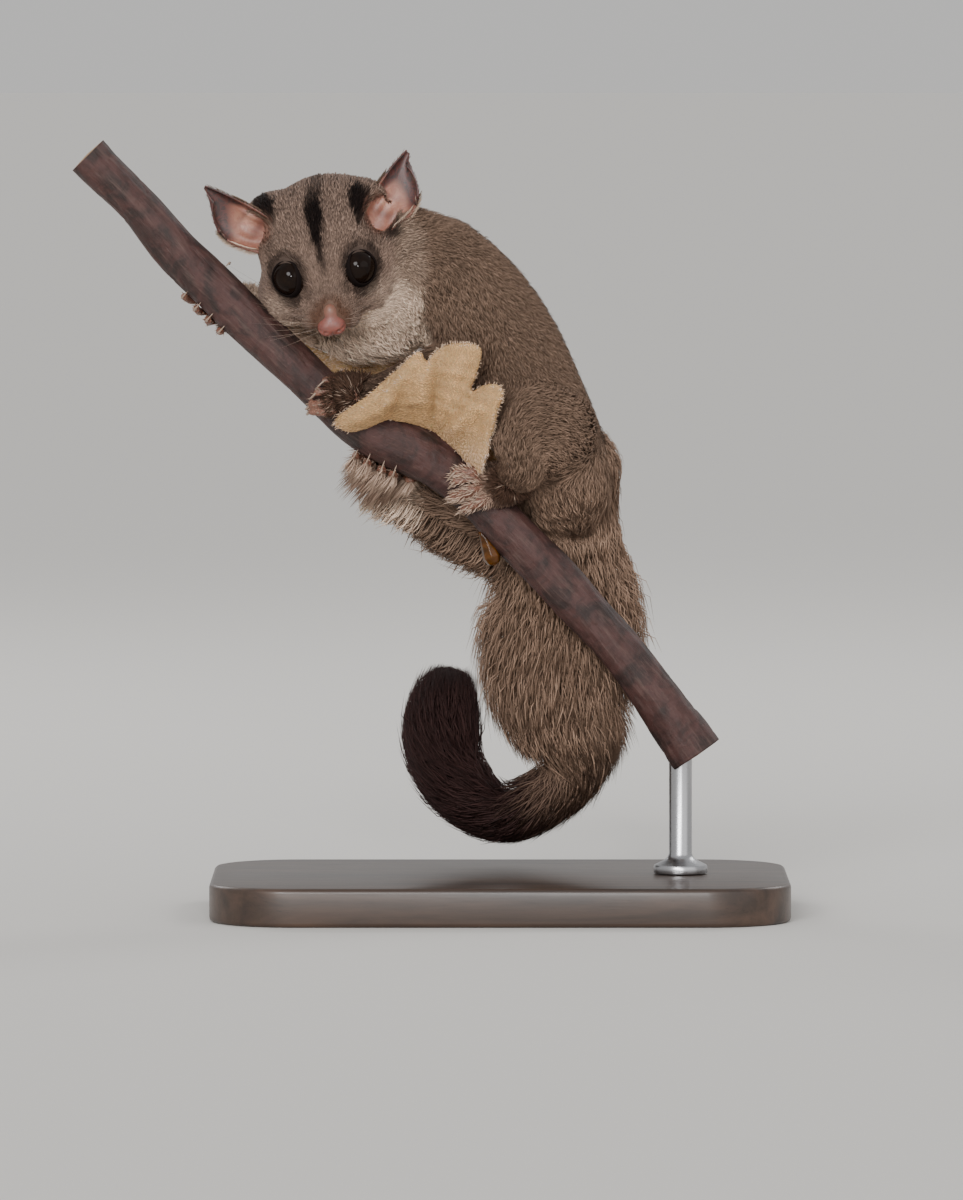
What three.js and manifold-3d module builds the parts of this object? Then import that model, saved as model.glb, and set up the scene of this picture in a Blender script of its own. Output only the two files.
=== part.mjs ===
// A sugar glider gripping a sloping branch, as a life-size still model on a display stand.
// Millimetres, +Z up. The front of the display faces -Y, and the animal's left side faces it too.
// The origin is the middle of the base's underside.
import * as THREE from "three";
import { mergeVertices } from "three/addons/utils/BufferGeometryUtils.js";
import Module from "manifold-3d";

const wasm = await Module();
wasm.setup();

// Driving dimensions

const GAP = 0.3; // free space between touching pieces
const FINEST_EDGE = 0.02; // a shorter edge, as cutting leaves them, is closed up
const at = (x, y, z, wide, high = wide) => ({
  centre: new THREE.Vector3(x, y, z),
  wide,
  high,
});

// Every line of stations below gives a middle point and the half sizes of the oval section there:
// "wide" along the body's left-to-right direction, and "high" across that.

const BASE = { length: 150, depth: 100, height: 10, corner: 22, bevel: 1.2 };
const ROD = { x: 47, radius: 3, foot: 7, footHeight: 3.5, top: 52 };

const PERCH = [
  at(-106.9, 0, 197, 5.6),
  at(-94.8, 0.5, 184.7, 5.4),
  at(-82.7, 0.3, 170.8, 5.7),
  at(-64.6, 0, 153.3, 5.7),
  at(-46.6, -0.3, 136, 5.8),
  at(-34.7, 0, 125.9, 6.2),
  at(-20.6, 0.3, 119.6, 6.7),
  at(-11.5, 0.5, 113.1, 5.9),
  at(-0.1, 0, 102.1, 5.9),
  at(13.9, -0.3, 87.5, 5.9),
  at(27.9, 0, 72.4, 5.8),
  at(42.6, 0.3, 53.5, 6.5),
  at(51, 0, 41.1, 7),
];
const BARK_LUMP = 0.35; // how far the bark rises and falls
const KNOT = { along: 137, angle: 12, size: 2.1, stand: 0.4 };
const GUM_DROP = { along: 143, angle: 178, length: 9, slant: 3, radius: 2.4 };

const TORSO = [
  at(-17.7, 7, 168.5, 19, 14.5),
  at(-8.6, 7, 159, 20.5, 16),
  at(0.2, 7, 146.4, 21, 16.2),
  at(7.4, 7, 133, 20.5, 15.2),
  at(13.8, 7.5, 120.4, 18, 14),
  at(17.6, 8, 109, 14.5, 12.4),
];
const NECK = [
  at(-46, 12, 168, 9, 17.5),
  at(-38, 11.5, 166.4, 12.5, 22.5),
  at(-30, 10, 165, 15, 21.5),
  at(-20, 8, 165, 17.5, 18.5),
  at(-14, 7, 164.5, 18, 16.5),
];

// The head's own frame: its middle, and its turn. "side" is the animal's left.
const HEAD_AT = new THREE.Vector3(-45.8, 2, 170.4);
const HEAD_PITCH = 38; // degrees, nose down
const HEAD_ROLL = 10; // degrees, the animal's left side up
const HEAD_YAW = 2; // degrees, toward the animal's right
const ball = (side, front, up, rs, rf, ru) => ({
  centre: new THREE.Vector3(side, front, up),
  radius: new THREE.Vector3(rs, rf, ru),
});
const pair = (side, ...rest) => [ball(side, ...rest), ball(-side, ...rest)];
const HEAD_BALLS = [
  ball(0, -5, 1.8, 17, 16, 15),
  ball(2.5, -10, 3.5, 14.5, 12, 13),
  ball(0, 3, 1.8, 13, 11.5, 10),
  ball(0, 12.5, -3.6, 7.4, 9.5, 6.2),
  ball(0, 19.4, -5.6, 4, 4.2, 3.8),
  ball(0, 11.5, -9, 5.8, 8, 3.6),
  ...pair(10, 4, -6.5, 8.4, 10, 8),
  ...pair(4, 16.4, -6.6, 3.7, 4.3, 3.4),
  ...pair(8.2, 5.5, 3, 6.4, 6.4, 6.4),
  ...pair(11.5, -9, 9, 7.5, 7.5, 6),
];
const HEAD_BLEND = 1.1; // mm over which the forms run into one another
const HEAD_CENTRE = new THREE.Vector3(0, 3, -1.5);
const EYE = { side: 8.4, front: 9, up: 2.6, radius: 5.3 };
const GAZE = new THREE.Vector3(0.4, 0.72, 0.5); // of the left eye, in the head's frame
const LID = { wide: 3.95, tall: 4.7, thick: 0.85, lean: -8 };
const NOSE_BALLS = [
  ball(0, 21.6, -4.9, 3.4, 2.9, 2.7),
  ...pair(1.7, 22.6, -5.2, 1.6, 1.7, 1.7),
];
const NOSTRIL = { side: 1.75, front: 24.2, up: -5.1, radius: 0.75 };
const MOUTH = [
  [-8.6, 10.5, -9.4],
  [-6.2, 15, -10],
  [-3.4, 19.6, -9.9],
  [0, 22, -8.8],
  [3.4, 19.6, -9.9],
  [6.2, 15, -10],
  [8.6, 10.5, -9.4],
];
const MOUTH_GROOVE = 0.5;
const EARS = {
  left: {
    root: [16.6, -6.5, 7.2],
    axis: [6.6, 6.5, 13.4],
    open: [-0.02, -0.98, 0.1],
    nick: true,
  },
  right: {
    root: [-15.4, -6.5, 8],
    axis: [-13.8, 1.5, 10.4],
    open: [-0.2, -0.96, -0.24],
    nick: false,
  },
};
// An ear's breadth on its inner edge, which is straight, and on its outer one, which is lobed.
const EAR = { length: 17.5, inner: 5.6, outer: 9.2, cup: 4.6, thick: 0.8, sink: 4 };

const ARMS = {
  left: {
    upper: [
      at(-12, -4, 163, 8, 11),
      at(-9, -7.6, 155.5, 7, 10),
      at(-6.5, -9.4, 148, 6, 8),
    ],
    fore: [
      at(-6.5, -9.6, 147, 5.4, 7),
      at(-17, -9.6, 142.4, 4.8, 6.2),
      at(-27, -9.6, 137.6, 4.2, 5.4),
      at(-34, -9.8, 135, 3.2, 4.4),
    ],
  },
  right: {
    upper: [
      at(-12, 20, 163, 8, 11),
      at(-22, 24.5, 156, 7.5, 9),
      at(-35, 25.5, 149, 6, 7),
    ],
    fore: [
      at(-36, 25.5, 149, 5.6, 6.6),
      at(-47, 23, 151, 4.8, 5.6),
      at(-58, 17.5, 155, 3.9, 4.4),
      at(-66.5, 12.5, 156.5, 3, 3.4),
    ],
  },
};
const LEGS = {
  left: {
    thigh: [
      at(15.5, 1, 123, 11, 12),
      at(12, -7, 125.6, 11.5, 14),
      at(6.5, -13, 127, 8.5, 11.5),
    ],
    shank: [
      at(5.5, -14, 125, 6.5, 9),
      at(6.6, -14, 118.5, 5.6, 7.6),
      at(4, -11.5, 113, 4.6, 6),
    ],
  },
  right: {
    thigh: [
      at(14, 13, 123, 10, 12),
      at(12.5, 20, 110, 11, 13),
      at(6.5, 22, 98, 10, 11.5),
    ],
    shank: [
      at(4.5, 22, 96.5, 8.5, 9),
      at(-9, 19, 102, 7.4, 8.2),
      at(-21, 15, 108.6, 5.8, 7),
      at(-31, 12.5, 113.6, 4.4, 5.2),
    ],
  },
};
// The fringe that hangs from the right shank: rows of locks, by the angle round the shank. Each
// is drawn a little away from the row's angle, sweep and length.
const FRINGE = {
  rows: [64, 100, 136],
  places: 6,
  length: 13.5,
  wide: 2.9,
  thick: 0.8,
  sink: 2.6,
  rise: 1,
  sweep: 0.4,
  vary: { degrees: 12, sweep: 0.3, length: 0.2 },
  seed: 11,
};

// Hands and feet grip the branch. A place on it is [mm along it, degrees round it, mm above the
// bark], where 0 degrees is its upper right, 90 the front, 180 the lower left and 270 the back.
const GRIPS = {
  hand_left: {
    palm: [
      { place: [95, 44, 6.4], wide: 3.4, high: 3 },
      { place: [92.8, 54, 3.8], wide: 4.8, high: 2.6 },
      { place: [91, 66, 2.3], wide: 5.2, high: 1.9 },
    ],
    digits: [
      { from: [88.9, 40], to: [84.8, 66], thick: 1.2 },
      { from: [89.8, 56], to: [85.4, 98], thick: 1.3 },
      { from: [90.9, 78], to: [86.4, 128], thick: 1.35 },
      { from: [92.2, 96], to: [87.6, 142], thick: 1.3 },
    ],
    thumb: { from: [91.2, 30], to: [86.4, 6], thick: 1.3 },
  },
  hand_right: {
    palm: [
      { place: [57, 292, 5.6], wide: 3.2, high: 2.9 },
      { place: [55, 276, 3.2], wide: 4.6, high: 2.3 },
      { place: [53, 256, 2.6], wide: 4.2, high: 1.8 },
    ],
    digits: [
      { from: [50, 258], to: [43.4, 184], thick: 1.3 },
      { from: [51.8, 250], to: [47.8, 174], thick: 1.35 },
      { from: [54, 250], to: [52, 170], thick: 1.4 },
      { from: [56.2, 254], to: [56.4, 174], thick: 1.35 },
    ],
    thumb: { from: [50.5, 290], to: [46, 340], thick: 1.4 },
  },
  foot_left: {
    palm: [
      { place: [140.5, 34, 7], wide: 3.8, high: 3.4 },
      { place: [137.6, 45, 4.2], wide: 5, high: 2.8 },
      { place: [135, 55, 2.5], wide: 5, high: 2.1 },
    ],
    digits: [
      { from: [131.8, 42], to: [126.8, 78], thick: 1.25 },
      { from: [132.8, 50], to: [128.4, 94], thick: 1.25 },
      { from: [134.6, 60], to: [130.8, 124], thick: 1.7 },
      { from: [138, 64], to: [135, 124], thick: 1.65 },
    ],
    thumb: { from: [139.6, 30], to: [141, -34], thick: 1.7 },
  },
  foot_right: {
    palm: [
      { place: [112, 262, 6], wide: 4.2, high: 3.2 },
      { place: [110, 244, 3.6], wide: 5, high: 2.5 },
      { place: [108, 228, 3], wide: 5, high: 2 },
    ],
    digits: [
      { from: [104.8, 234], to: [102.4, 182], thick: 1.3 },
      { from: [106.4, 228], to: [105.2, 172], thick: 1.4 },
      { from: [109, 228], to: [109, 174], thick: 1.55 },
      { from: [111.6, 230], to: [112.4, 172], thick: 1.55 },
    ],
    thumb: { from: [114, 252], to: [118.4, 205], thick: 1.7 },
  },
};
const CLAW = { length: 2.6, radius: 0.5 };

// The gliding membranes: the line where each grows from the body, and its ruffled free edge.
const MEMBRANE_THICK = 1.1;
const MEMBRANES = {
  left: {
    root: [
      [-42.6, -7.6, 127.1],
      [-39, -7.8, 125.8],
      [-35.4, -7.8, 126.4],
      [-31.6, -7.6, 128],
      [-28.8, -5.6, 129],
      [-24, -1.6, 127],
      [-18.6, 0, 125.4],
      [-13.6, 0, 121.6],
      [-9.6, -1.6, 117.6],
      [-6.6, -4.8, 115],
      [-4.4, -8.4, 114.4],
    ],
    edge: [
      [-43, -8.4, 128.4],
      [-38.8, -12, 131.6],
      [-34, -14.6, 135],
      [-28.8, -16.4, 139.8],
      [-25, -18, 142.8],
      [-20.6, -19.4, 146.8],
      [-19, -18.2, 143.6],
      [-15.4, -20, 147.6],
      [-10, -20.6, 148.8],
      [-5, -20.4, 147.6],
      [-5.2, -19, 143.6],
      [-7.8, -17.4, 136],
      [-3.2, -20.4, 138.2],
      [0.6, -21, 137.4],
      [-0.8, -19.6, 131.4],
      [-2.2, -17.6, 125.4],
      [-3.8, -14.6, 119.6],
    ],
    bulge: 5.5,
    ruffle: 0.5,
    folds: 5,
    steps: 34,
  },
  right: {
    root: [
      [-60, 13.6, 151],
      [-46, 21, 146.4],
      [-30, 24, 145],
      [-14, 25.4, 141],
      [-2, 26.2, 132],
      [2, 26.4, 120],
      [-2, 24, 110],
      [-14, 20, 108],
    ],
    edge: [
      [-63, 11, 149.4],
      [-51, 19, 140.4],
      [-42, 27, 138],
      [-33, 24, 133.6],
      [-24, 31, 132.6],
      [-17, 27, 127.4],
      [-10, 33.6, 125.6],
      [-8, 28, 119],
      [-6, 33, 114.6],
      [-12, 26, 111.6],
      [-21, 21, 112.4],
    ],
    bulge: 0,
    ruffle: 1.6,
    folds: 6,
    steps: 24,
  },
};

// The tail's coat, root to tip; "wide" runs front to back. It is parted at the stations named.
const TAIL = [
  at(19, 10.5, 118, 12, 12),
  at(16, 16, 102, 14, 16),
  at(16.7, 21.5, 84, 14.6, 22.2),
  at(15.6, 22.5, 68.5, 15, 22.2),
  at(16, 20.5, 54.5, 14.6, 17.4),
  at(20.6, 19.6, 41.6, 12, 9.6),
  at(14.4, 22.4, 30.4, 11, 7.8),
  at(2, 27, 24, 11, 8.2),
  at(-10.6, 31, 31, 11, 9.8),
  at(-15.4, 33, 45, 11, 10.6),
  at(-13.6, 33, 57, 6, 6.6),
];
const TAIL_PARTS = [
  [0, 3],
  [3, 5],
  [5, 8],
  [8, 10],
];
const TAIL_TIP = 8; // how far the coat runs past the last station
const TAIL_ROOT = 5; // how far its root is sunk into the rump
const TAIL_FLESH = 3.2; // half width of the tail itself under its coat
// Locks grow in rings along the tail, and lie over the roots of those behind them. Their places
// rise through the coat, from inside its core, by the shares named.
const TAIL_LOCK = {
  spacing: 12.6,
  arc: 13.6,
  length: 24,
  thick: 0.7,
  fill: 0.42,
  core: 0.5,
  rise: [0.2, 0.68, 0.98],
  first: 4.5,
  last: 4,
  fewest: 4,
  vary: { place: 0.08, start: 1.5, length: 0.12, twist: 0.05, lift: 0.05 },
  seed: 5,
};

// Colours

const paint = (hex, roughness, metalness = 0) =>
  new THREE.MeshStandardMaterial({ color: hex, roughness, metalness });
const COAT_GREY = paint(0x857668, 0.9);
const COAT_CREAM = paint(0xc9b291, 0.9);
const COAT_DARK = paint(0x2d2220, 0.9);
const BARE_SKIN = paint(0xa4705c, 0.6);
const NOSE_PINK = paint(0xc07a72, 0.4);
const EYE_BLACK = paint(0x060505, 0.05);
const BARK = paint(0x5b4343, 0.75);
const AMBER = paint(0x6a3d12, 0.15);
const STAND_WOOD = paint(0x3a2c22, 0.45);
const STAND_STEEL = paint(0x9a9a9c, 0.3, 1);

// Closed shapes

const FRONT_TO_BACK = new THREE.Vector3(0, 1, 0);

// A closed mesh of rows of points, as a solid.
function solidOf(points, faces) {
  const geometry = new THREE.BufferGeometry();
  const flat = points.flatMap((p) => [p.x, p.y, p.z]);
  geometry.setAttribute("position", new THREE.Float32BufferAttribute(flat, 3));
  geometry.setIndex(faces.flat());
  return solidFrom(geometry);
}

function solidFrom(geometry) {
  const bare = geometry.clone();
  bare.deleteAttribute("normal");
  bare.deleteAttribute("uv");
  const merged = mergeVertices(bare, 1e-4);
  const whole = (triVerts) =>
    new wasm.Manifold(
      new wasm.Mesh({
        numProp: 3,
        vertProperties: merged.attributes.position.array,
        triVerts,
      }),
    );
  const made = whole(new Uint32Array(merged.index.array));
  return made.volume() > 0
    ? made
    : whole(new Uint32Array(merged.index.array).reverse());
}

// The smooth line and the changing size that a row of stations stands for.
function courseOf(stations) {
  const line = new THREE.CatmullRomCurve3(stations.map((s) => s.centre));
  const sizes = new THREE.CatmullRomCurve3(
    stations.map((s) => new THREE.Vector3(s.wide, s.high, 0)),
    false,
    "catmullrom",
  );
  return { line, sizes };
}

// The oval section of a course at t: its middle, its axes and its half sizes.
function sectionAt({ line, sizes }, t, across) {
  const tangent = line.getTangent(t);
  const wideDir = across.clone().addScaledVector(tangent, -across.dot(tangent)).normalize();
  const highDir = new THREE.Vector3().crossVectors(tangent, wideDir);
  return { middle: line.getPoint(t), tangent, wideDir, highDir, size: sizes.getPoint(t) };
}

// A place on an oval about its middle, by the angle from its wide axis.
function ovalPoint(wideDir, highDir, wide, high, angle) {
  return wideDir
    .clone()
    .multiplyScalar(wide * Math.cos(angle))
    .addScaledVector(highDir, high * Math.sin(angle));
}

// A closed body through oval sections on a smooth line, its two ends rounded off.
function loft(stations, options = {}) {
  const {
    sides = 12,
    rings = 8,
    capRings = 2,
    ends = [2, 2],
    across = FRONT_TO_BACK,
    grow = 0,
    lump = () => 0,
    span = [0, 1],
    turn = 0,
  } = options;
  const course = courseOf(stations);
  const spots = [];
  for (let i = 1; i <= capRings; i++) {
    const a = (i / (capRings + 1)) * (Math.PI / 2);
    spots.push({ t: span[0], slide: -(ends[0] + grow) * Math.cos(a), scale: Math.sin(a) });
  }
  for (let i = 0; i <= rings; i++)
    spots.push({ t: THREE.MathUtils.lerp(...span, i / rings), slide: 0, scale: 1 });
  for (let i = capRings; i >= 1; i--) {
    const a = (i / (capRings + 1)) * (Math.PI / 2);
    spots.push({ t: span[1], slide: (ends[1] + grow) * Math.cos(a), scale: Math.sin(a) });
  }
  const points = [];
  for (const { t, slide, scale } of spots) {
    const { middle, tangent, wideDir, highDir, size } = sectionAt(course, t, across);
    middle.addScaledVector(tangent, slide);
    for (let j = 0; j < sides; j++) {
      const a = (j / sides) * 2 * Math.PI + turn;
      const more = grow + lump(t, a);
      points.push(
        ovalPoint(wideDir, highDir, (size.x + more) * scale, (size.y + more) * scale, a).add(middle),
      );
    }
  }
  const rows = spots.length;
  const first = points.length;
  const { line } = course;
  points.push(
    line.getPoint(span[0]).addScaledVector(line.getTangent(span[0]), -(ends[0] + grow)),
    line.getPoint(span[1]).addScaledVector(line.getTangent(span[1]), ends[1] + grow),
  );
  const faces = [];
  for (let j = 0; j < sides; j++) {
    const k = (j + 1) % sides;
    faces.push([first, k, j]);
    for (let i = 0; i < rows - 1; i++) {
      const [a, b] = [i * sides + j, i * sides + k];
      const [c, d] = [a + sides, b + sides];
      faces.push([a, b, d], [a, d, c]);
    }
    faces.push([first + 1, (rows - 1) * sides + j, (rows - 1) * sides + k]);
  }
  return solidOf(points, faces);
}

// The smooth outer skin of several ovals run together, seen from a middle that lies inside them.
function skinDistance(balls, point, blend, grow) {
  let sum = 0;
  for (const { centre, radius } of balls) {
    const [x, y, z] = [point.x - centre.x, point.y - centre.y, point.z - centre.z];
    const share = Math.hypot(x / radius.x, y / radius.y, z / radius.z);
    const slope = Math.hypot(x / radius.x ** 2, y / radius.y ** 2, z / radius.z ** 2);
    const away = slope > 1e-9 ? (share * (share - 1)) / slope : -Math.min(radius.x, radius.y, radius.z);
    sum += Math.exp(-away / blend);
  }
  return -blend * Math.log(sum) - grow;
}

function skinPoint(balls, middle, direction, blend, grow = 0) {
  let [inside, outside] = [0, 80];
  for (let i = 0; i < 26; i++) {
    const reach = (inside + outside) / 2;
    const point = middle.clone().addScaledVector(direction, reach);
    if (skinDistance(balls, point, blend, grow) > 0) outside = reach;
    else inside = reach;
  }
  return middle.clone().addScaledVector(direction, inside);
}

function blob(balls, middle, blend, detail, grow = 0) {
  const geometry = mergeVertices(stripped(new THREE.IcosahedronGeometry(1, detail)), 1e-4);
  const place = geometry.attributes.position;
  for (let i = 0; i < place.count; i++) {
    const direction = new THREE.Vector3().fromBufferAttribute(place, i).normalize();
    const p = skinPoint(balls, middle, direction, blend, grow);
    place.setXYZ(i, p.x, p.y, p.z);
  }
  return geometry;
}

function stripped(geometry) {
  geometry.deleteAttribute("normal");
  geometry.deleteAttribute("uv");
  return geometry;
}

// A thin closed sheet: surface(u, v) gives its middle, u and v running from 0 to 1.
function sheet(surface, across, along, thickness) {
  const step = 1e-3;
  const points = [];
  for (const side of [1, -1])
    for (let i = 0; i <= across; i++)
      for (let j = 0; j <= along; j++) {
        const [u, v] = [i / across, j / along];
        const [u0, u1] = [Math.max(u - step, 0), Math.min(u + step, 1)];
        const [v0, v1] = [Math.max(v - step, 0), Math.min(v + step, 1)];
        const du = surface(u1, v).sub(surface(u0, v));
        const dv = surface(u, v1).sub(surface(u, v0));
        const normal = new THREE.Vector3().crossVectors(du, dv).normalize();
        points.push(surface(u, v).addScaledVector(normal, (side * thickness(u, v)) / 2));
      }
  const wide = along + 1;
  const layer = wide * (across + 1);
  const faces = [];
  for (let i = 0; i < across; i++)
    for (let j = 0; j < along; j++) {
      const [a, b, c, d] = [i * wide + j, (i + 1) * wide + j, (i + 1) * wide + j + 1, i * wide + j + 1];
      faces.push([a, b, c], [a, c, d]);
      faces.push([a + layer, c + layer, b + layer], [a + layer, d + layer, c + layer]);
    }
  const rim = [];
  for (let i = 0; i < across; i++) rim.push(i * wide);
  for (let j = 0; j < along; j++) rim.push(across * wide + j);
  for (let i = across; i > 0; i--) rim.push(i * wide + along);
  for (let j = along; j > 0; j--) rim.push(j);
  rim.forEach((a, i) => {
    const b = rim[(i + 1) % rim.length];
    faces.push([b, a, a + layer], [b, a + layer, b + layer]);
  });
  return solidOf(points, faces);
}

// Closes up the edges too short to matter, where the surface stays whole without them.
function closeShortEdges(points, faces) {
  for (;;) {
    const near = points.map(() => new Set());
    for (const face of faces)
      face.forEach((a, i) => near[a].add(face[(i + 1) % 3]).add(face[(i + 2) % 3]));
    const moved = new Map();
    const held = new Set();
    for (const face of faces)
      face.forEach((a, i) => {
        const b = face[(i + 1) % 3];
        if (a > b || held.has(a) || held.has(b)) return;
        if (points[a].distanceTo(points[b]) > FINEST_EDGE) return;
        if ([...near[a]].filter((c) => near[b].has(c)).length !== 2) return;
        moved.set(b, a);
        for (const c of [a, b, ...near[a], ...near[b]]) held.add(c);
      });
    if (!moved.size) return faces;
    faces = faces
      .map((face) => face.map((a) => moved.get(a) ?? a))
      .filter(([a, b, c]) => a !== b && b !== c && c !== a);
  }
}

const together = (solids) => solids.reduce((a, b) => a.add(b));

// The branch, and places on it

const perchLine = new THREE.CatmullRomCurve3(PERCH.map((s) => s.centre));
const PERCH_LENGTH = perchLine.getLength();
const perchRadius = (along) => {
  const t = perchLine.getUtoTmapping(along / PERCH_LENGTH);
  const spot = t * (PERCH.length - 1);
  const i = Math.min(Math.floor(spot), PERCH.length - 2);
  return THREE.MathUtils.lerp(PERCH[i].wide, PERCH[i + 1].wide, spot - i);
};

function onPerch([along, degrees, above]) {
  const u = THREE.MathUtils.clamp(along / PERCH_LENGTH, 0, 1);
  const tangent = perchLine.getTangentAt(u);
  const upRight = new THREE.Vector3().crossVectors(FRONT_TO_BACK, tangent).normalize();
  if (upRight.z < 0) upRight.negate();
  const a = THREE.MathUtils.degToRad(degrees);
  const reach = perchRadius(along) + above;
  return perchLine
    .getPointAt(u)
    .addScaledVector(upRight, reach * Math.cos(a))
    .addScaledVector(FRONT_TO_BACK, -reach * Math.sin(a));
}

const barkLump = (t, a) =>
  BARK_LUMP * (Math.sin(23 * t + 2 * a) + 0.6 * Math.sin(57 * t - 3 * a + 1));

function perch(grow) {
  const { along, angle, size, stand } = KNOT;
  const knot = new THREE.IcosahedronGeometry(size + grow, 1);
  knot.translate(...onPerch([along, angle, stand - size / 2]).toArray());
  const stick = loft(PERCH, { sides: 12, rings: 18, capRings: 0, ends: [0.6, 0.6], grow, lump: barkLump });
  return stick.add(solidFrom(knot));
}

function gumDrop(grow) {
  const { along, angle, length, slant, radius } = GUM_DROP;
  const top = onPerch([along, angle, -1]);
  const down = (share, r) => at(top.x + share * slant, top.y, top.z - share * length, r);
  return loft([down(0, radius * 0.6), down(0.4, radius * 0.8), down(0.75, radius)], {
    sides: 8,
    rings: 3,
    capRings: 1,
    ends: [0.5, length * 0.25],
    grow,
  });
}

// The stand

function standBase() {
  const { length, depth, height, corner, bevel } = BASE;
  const [x, y, r] = [length / 2 - bevel, depth / 2 - bevel, corner - bevel];
  const outline = new THREE.Shape();
  outline.moveTo(-x + r, -y);
  outline.lineTo(x - r, -y).absarc(x - r, -y + r, r, -Math.PI / 2, 0);
  outline.lineTo(x, y - r).absarc(x - r, y - r, r, 0, Math.PI / 2);
  outline.lineTo(-x + r, y).absarc(-x + r, y - r, r, Math.PI / 2, Math.PI);
  outline.lineTo(-x, -y + r).absarc(-x + r, -y + r, r, Math.PI, Math.PI * 1.5);
  const geometry = new THREE.ExtrudeGeometry(outline, {
    depth: height - 2 * bevel,
    curveSegments: 4,
    bevelThickness: bevel,
    bevelSize: bevel,
    bevelSegments: 1,
  });
  geometry.translate(0, 0, bevel);
  return solidFrom(geometry);
}

function standRod(grow) {
  const { x, radius, foot, footHeight, top } = ROD;
  const low = BASE.height + GAP;
  const r = radius + grow;
  const profile = [
    [0, low],
    [foot, low],
    [foot, low + footHeight * 0.6],
    [r + 1, low + footHeight],
    [r, low + footHeight + 1],
    [r, top],
    [0, top],
  ].map(([a, b]) => new THREE.Vector2(a, b));
  const geometry = new THREE.LatheGeometry(profile, 12);
  geometry.rotateX(Math.PI / 2);
  geometry.translate(x, 0, 0);
  return solidFrom(geometry);
}

// The head

const headTurn = new THREE.Matrix4()
  .makeTranslation(HEAD_AT.x, HEAD_AT.y, HEAD_AT.z)
  .multiply(new THREE.Matrix4().makeRotationY(-THREE.MathUtils.degToRad(HEAD_ROLL)))
  .multiply(new THREE.Matrix4().makeRotationX(THREE.MathUtils.degToRad(HEAD_PITCH)))
  .multiply(new THREE.Matrix4().makeRotationZ(-THREE.MathUtils.degToRad(HEAD_YAW)))
  .multiply(new THREE.Matrix4().makeScale(1, -1, 1));
const inHead = (side, front, up) => new THREE.Vector3(side, front, up).applyMatrix4(headTurn);

function headSolid(geometry) {
  return solidFrom(geometry.applyMatrix4(headTurn));
}

const eyeMiddle = (sign) => new THREE.Vector3(sign * EYE.side, EYE.front, EYE.up);
const gaze = (sign) => new THREE.Vector3(sign * GAZE.x, GAZE.y, GAZE.z).normalize();

function eye(sign, grow) {
  const geometry = new THREE.IcosahedronGeometry(EYE.radius + grow, 2);
  geometry.translate(...eyeMiddle(sign).toArray());
  return headSolid(geometry);
}

// A ring of eyelid round the eyeball, longer along a leaning line, as the eye's opening is.
function lids(sign) {
  const out = gaze(sign);
  const lean = THREE.MathUtils.degToRad(LID.lean) * sign;
  const up = new THREE.Vector3(0, 0, 1).addScaledVector(out, -out.z).normalize();
  const side = new THREE.Vector3().crossVectors(up, out);
  const long = up.clone().multiplyScalar(Math.cos(lean)).addScaledVector(side, Math.sin(lean));
  const short = new THREE.Vector3().crossVectors(long, out);
  const [steps, sides] = [16, 6];
  const points = [];
  const faces = [];
  for (let i = 0; i < steps; i++) {
    const a = (i / steps) * 2 * Math.PI;
    const flat = short
      .clone()
      .multiplyScalar(LID.wide * Math.cos(a))
      .addScaledVector(long, LID.tall * Math.sin(a));
    const rise = Math.sqrt(EYE.radius ** 2 - flat.lengthSq());
    const middle = eyeMiddle(sign).add(flat).addScaledVector(out, rise);
    const outward = flat.clone().normalize();
    for (let j = 0; j < sides; j++) {
      const b = (j / sides) * 2 * Math.PI;
      points.push(
        middle
          .clone()
          .addScaledVector(outward, LID.thick * Math.cos(b))
          .addScaledVector(out, LID.thick * Math.sin(b)),
      );
      const [p, q] = [i * sides + j, i * sides + ((j + 1) % sides)];
      const [r, t] = [p, q].map((k) => (k + sides) % (steps * sides));
      faces.push([p, q, t], [p, t, r]);
    }
  }
  points.forEach((p) => p.applyMatrix4(headTurn));
  return solidOf(points, faces);
}

function mouthGroove() {
  const places = MOUTH.map(([side, front, up]) => {
    const direction = new THREE.Vector3(side, front, up).sub(HEAD_CENTRE).normalize();
    return skinPoint(HEAD_BALLS, HEAD_CENTRE, direction, HEAD_BLEND);
  });
  const stations = places.map((p) => at(p.x, p.y, p.z, MOUTH_GROOVE, MOUTH_GROOVE));
  stations.forEach((s) => s.centre.applyMatrix4(headTurn));
  return loft(stations, { sides: 5, rings: 10, capRings: 0, ends: [0.6, 0.6] });
}

function head(grow) {
  const skull = headSolid(blob(HEAD_BALLS, HEAD_CENTRE, HEAD_BLEND, 7, grow));
  if (grow) return skull;
  const dressed = together([skull, lids(1), lids(-1)]);
  return dressed.subtract(mouthGroove());
}

function nose(grow) {
  const middle = new THREE.Vector3(0, 21.4, -5);
  const pad = headSolid(blob(NOSE_BALLS, middle, 0.5, 3, grow));
  if (grow) return pad;
  const { side, front, up, radius } = NOSTRIL;
  const pits = [1, -1].map((sign) => {
    const geometry = new THREE.IcosahedronGeometry(radius, 0);
    geometry.scale(0.8, 1.5, 1.1);
    geometry.translate(sign * side, front, up);
    return headSolid(geometry);
  });
  return pits.reduce((a, b) => a.subtract(b), pad);
}

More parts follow.
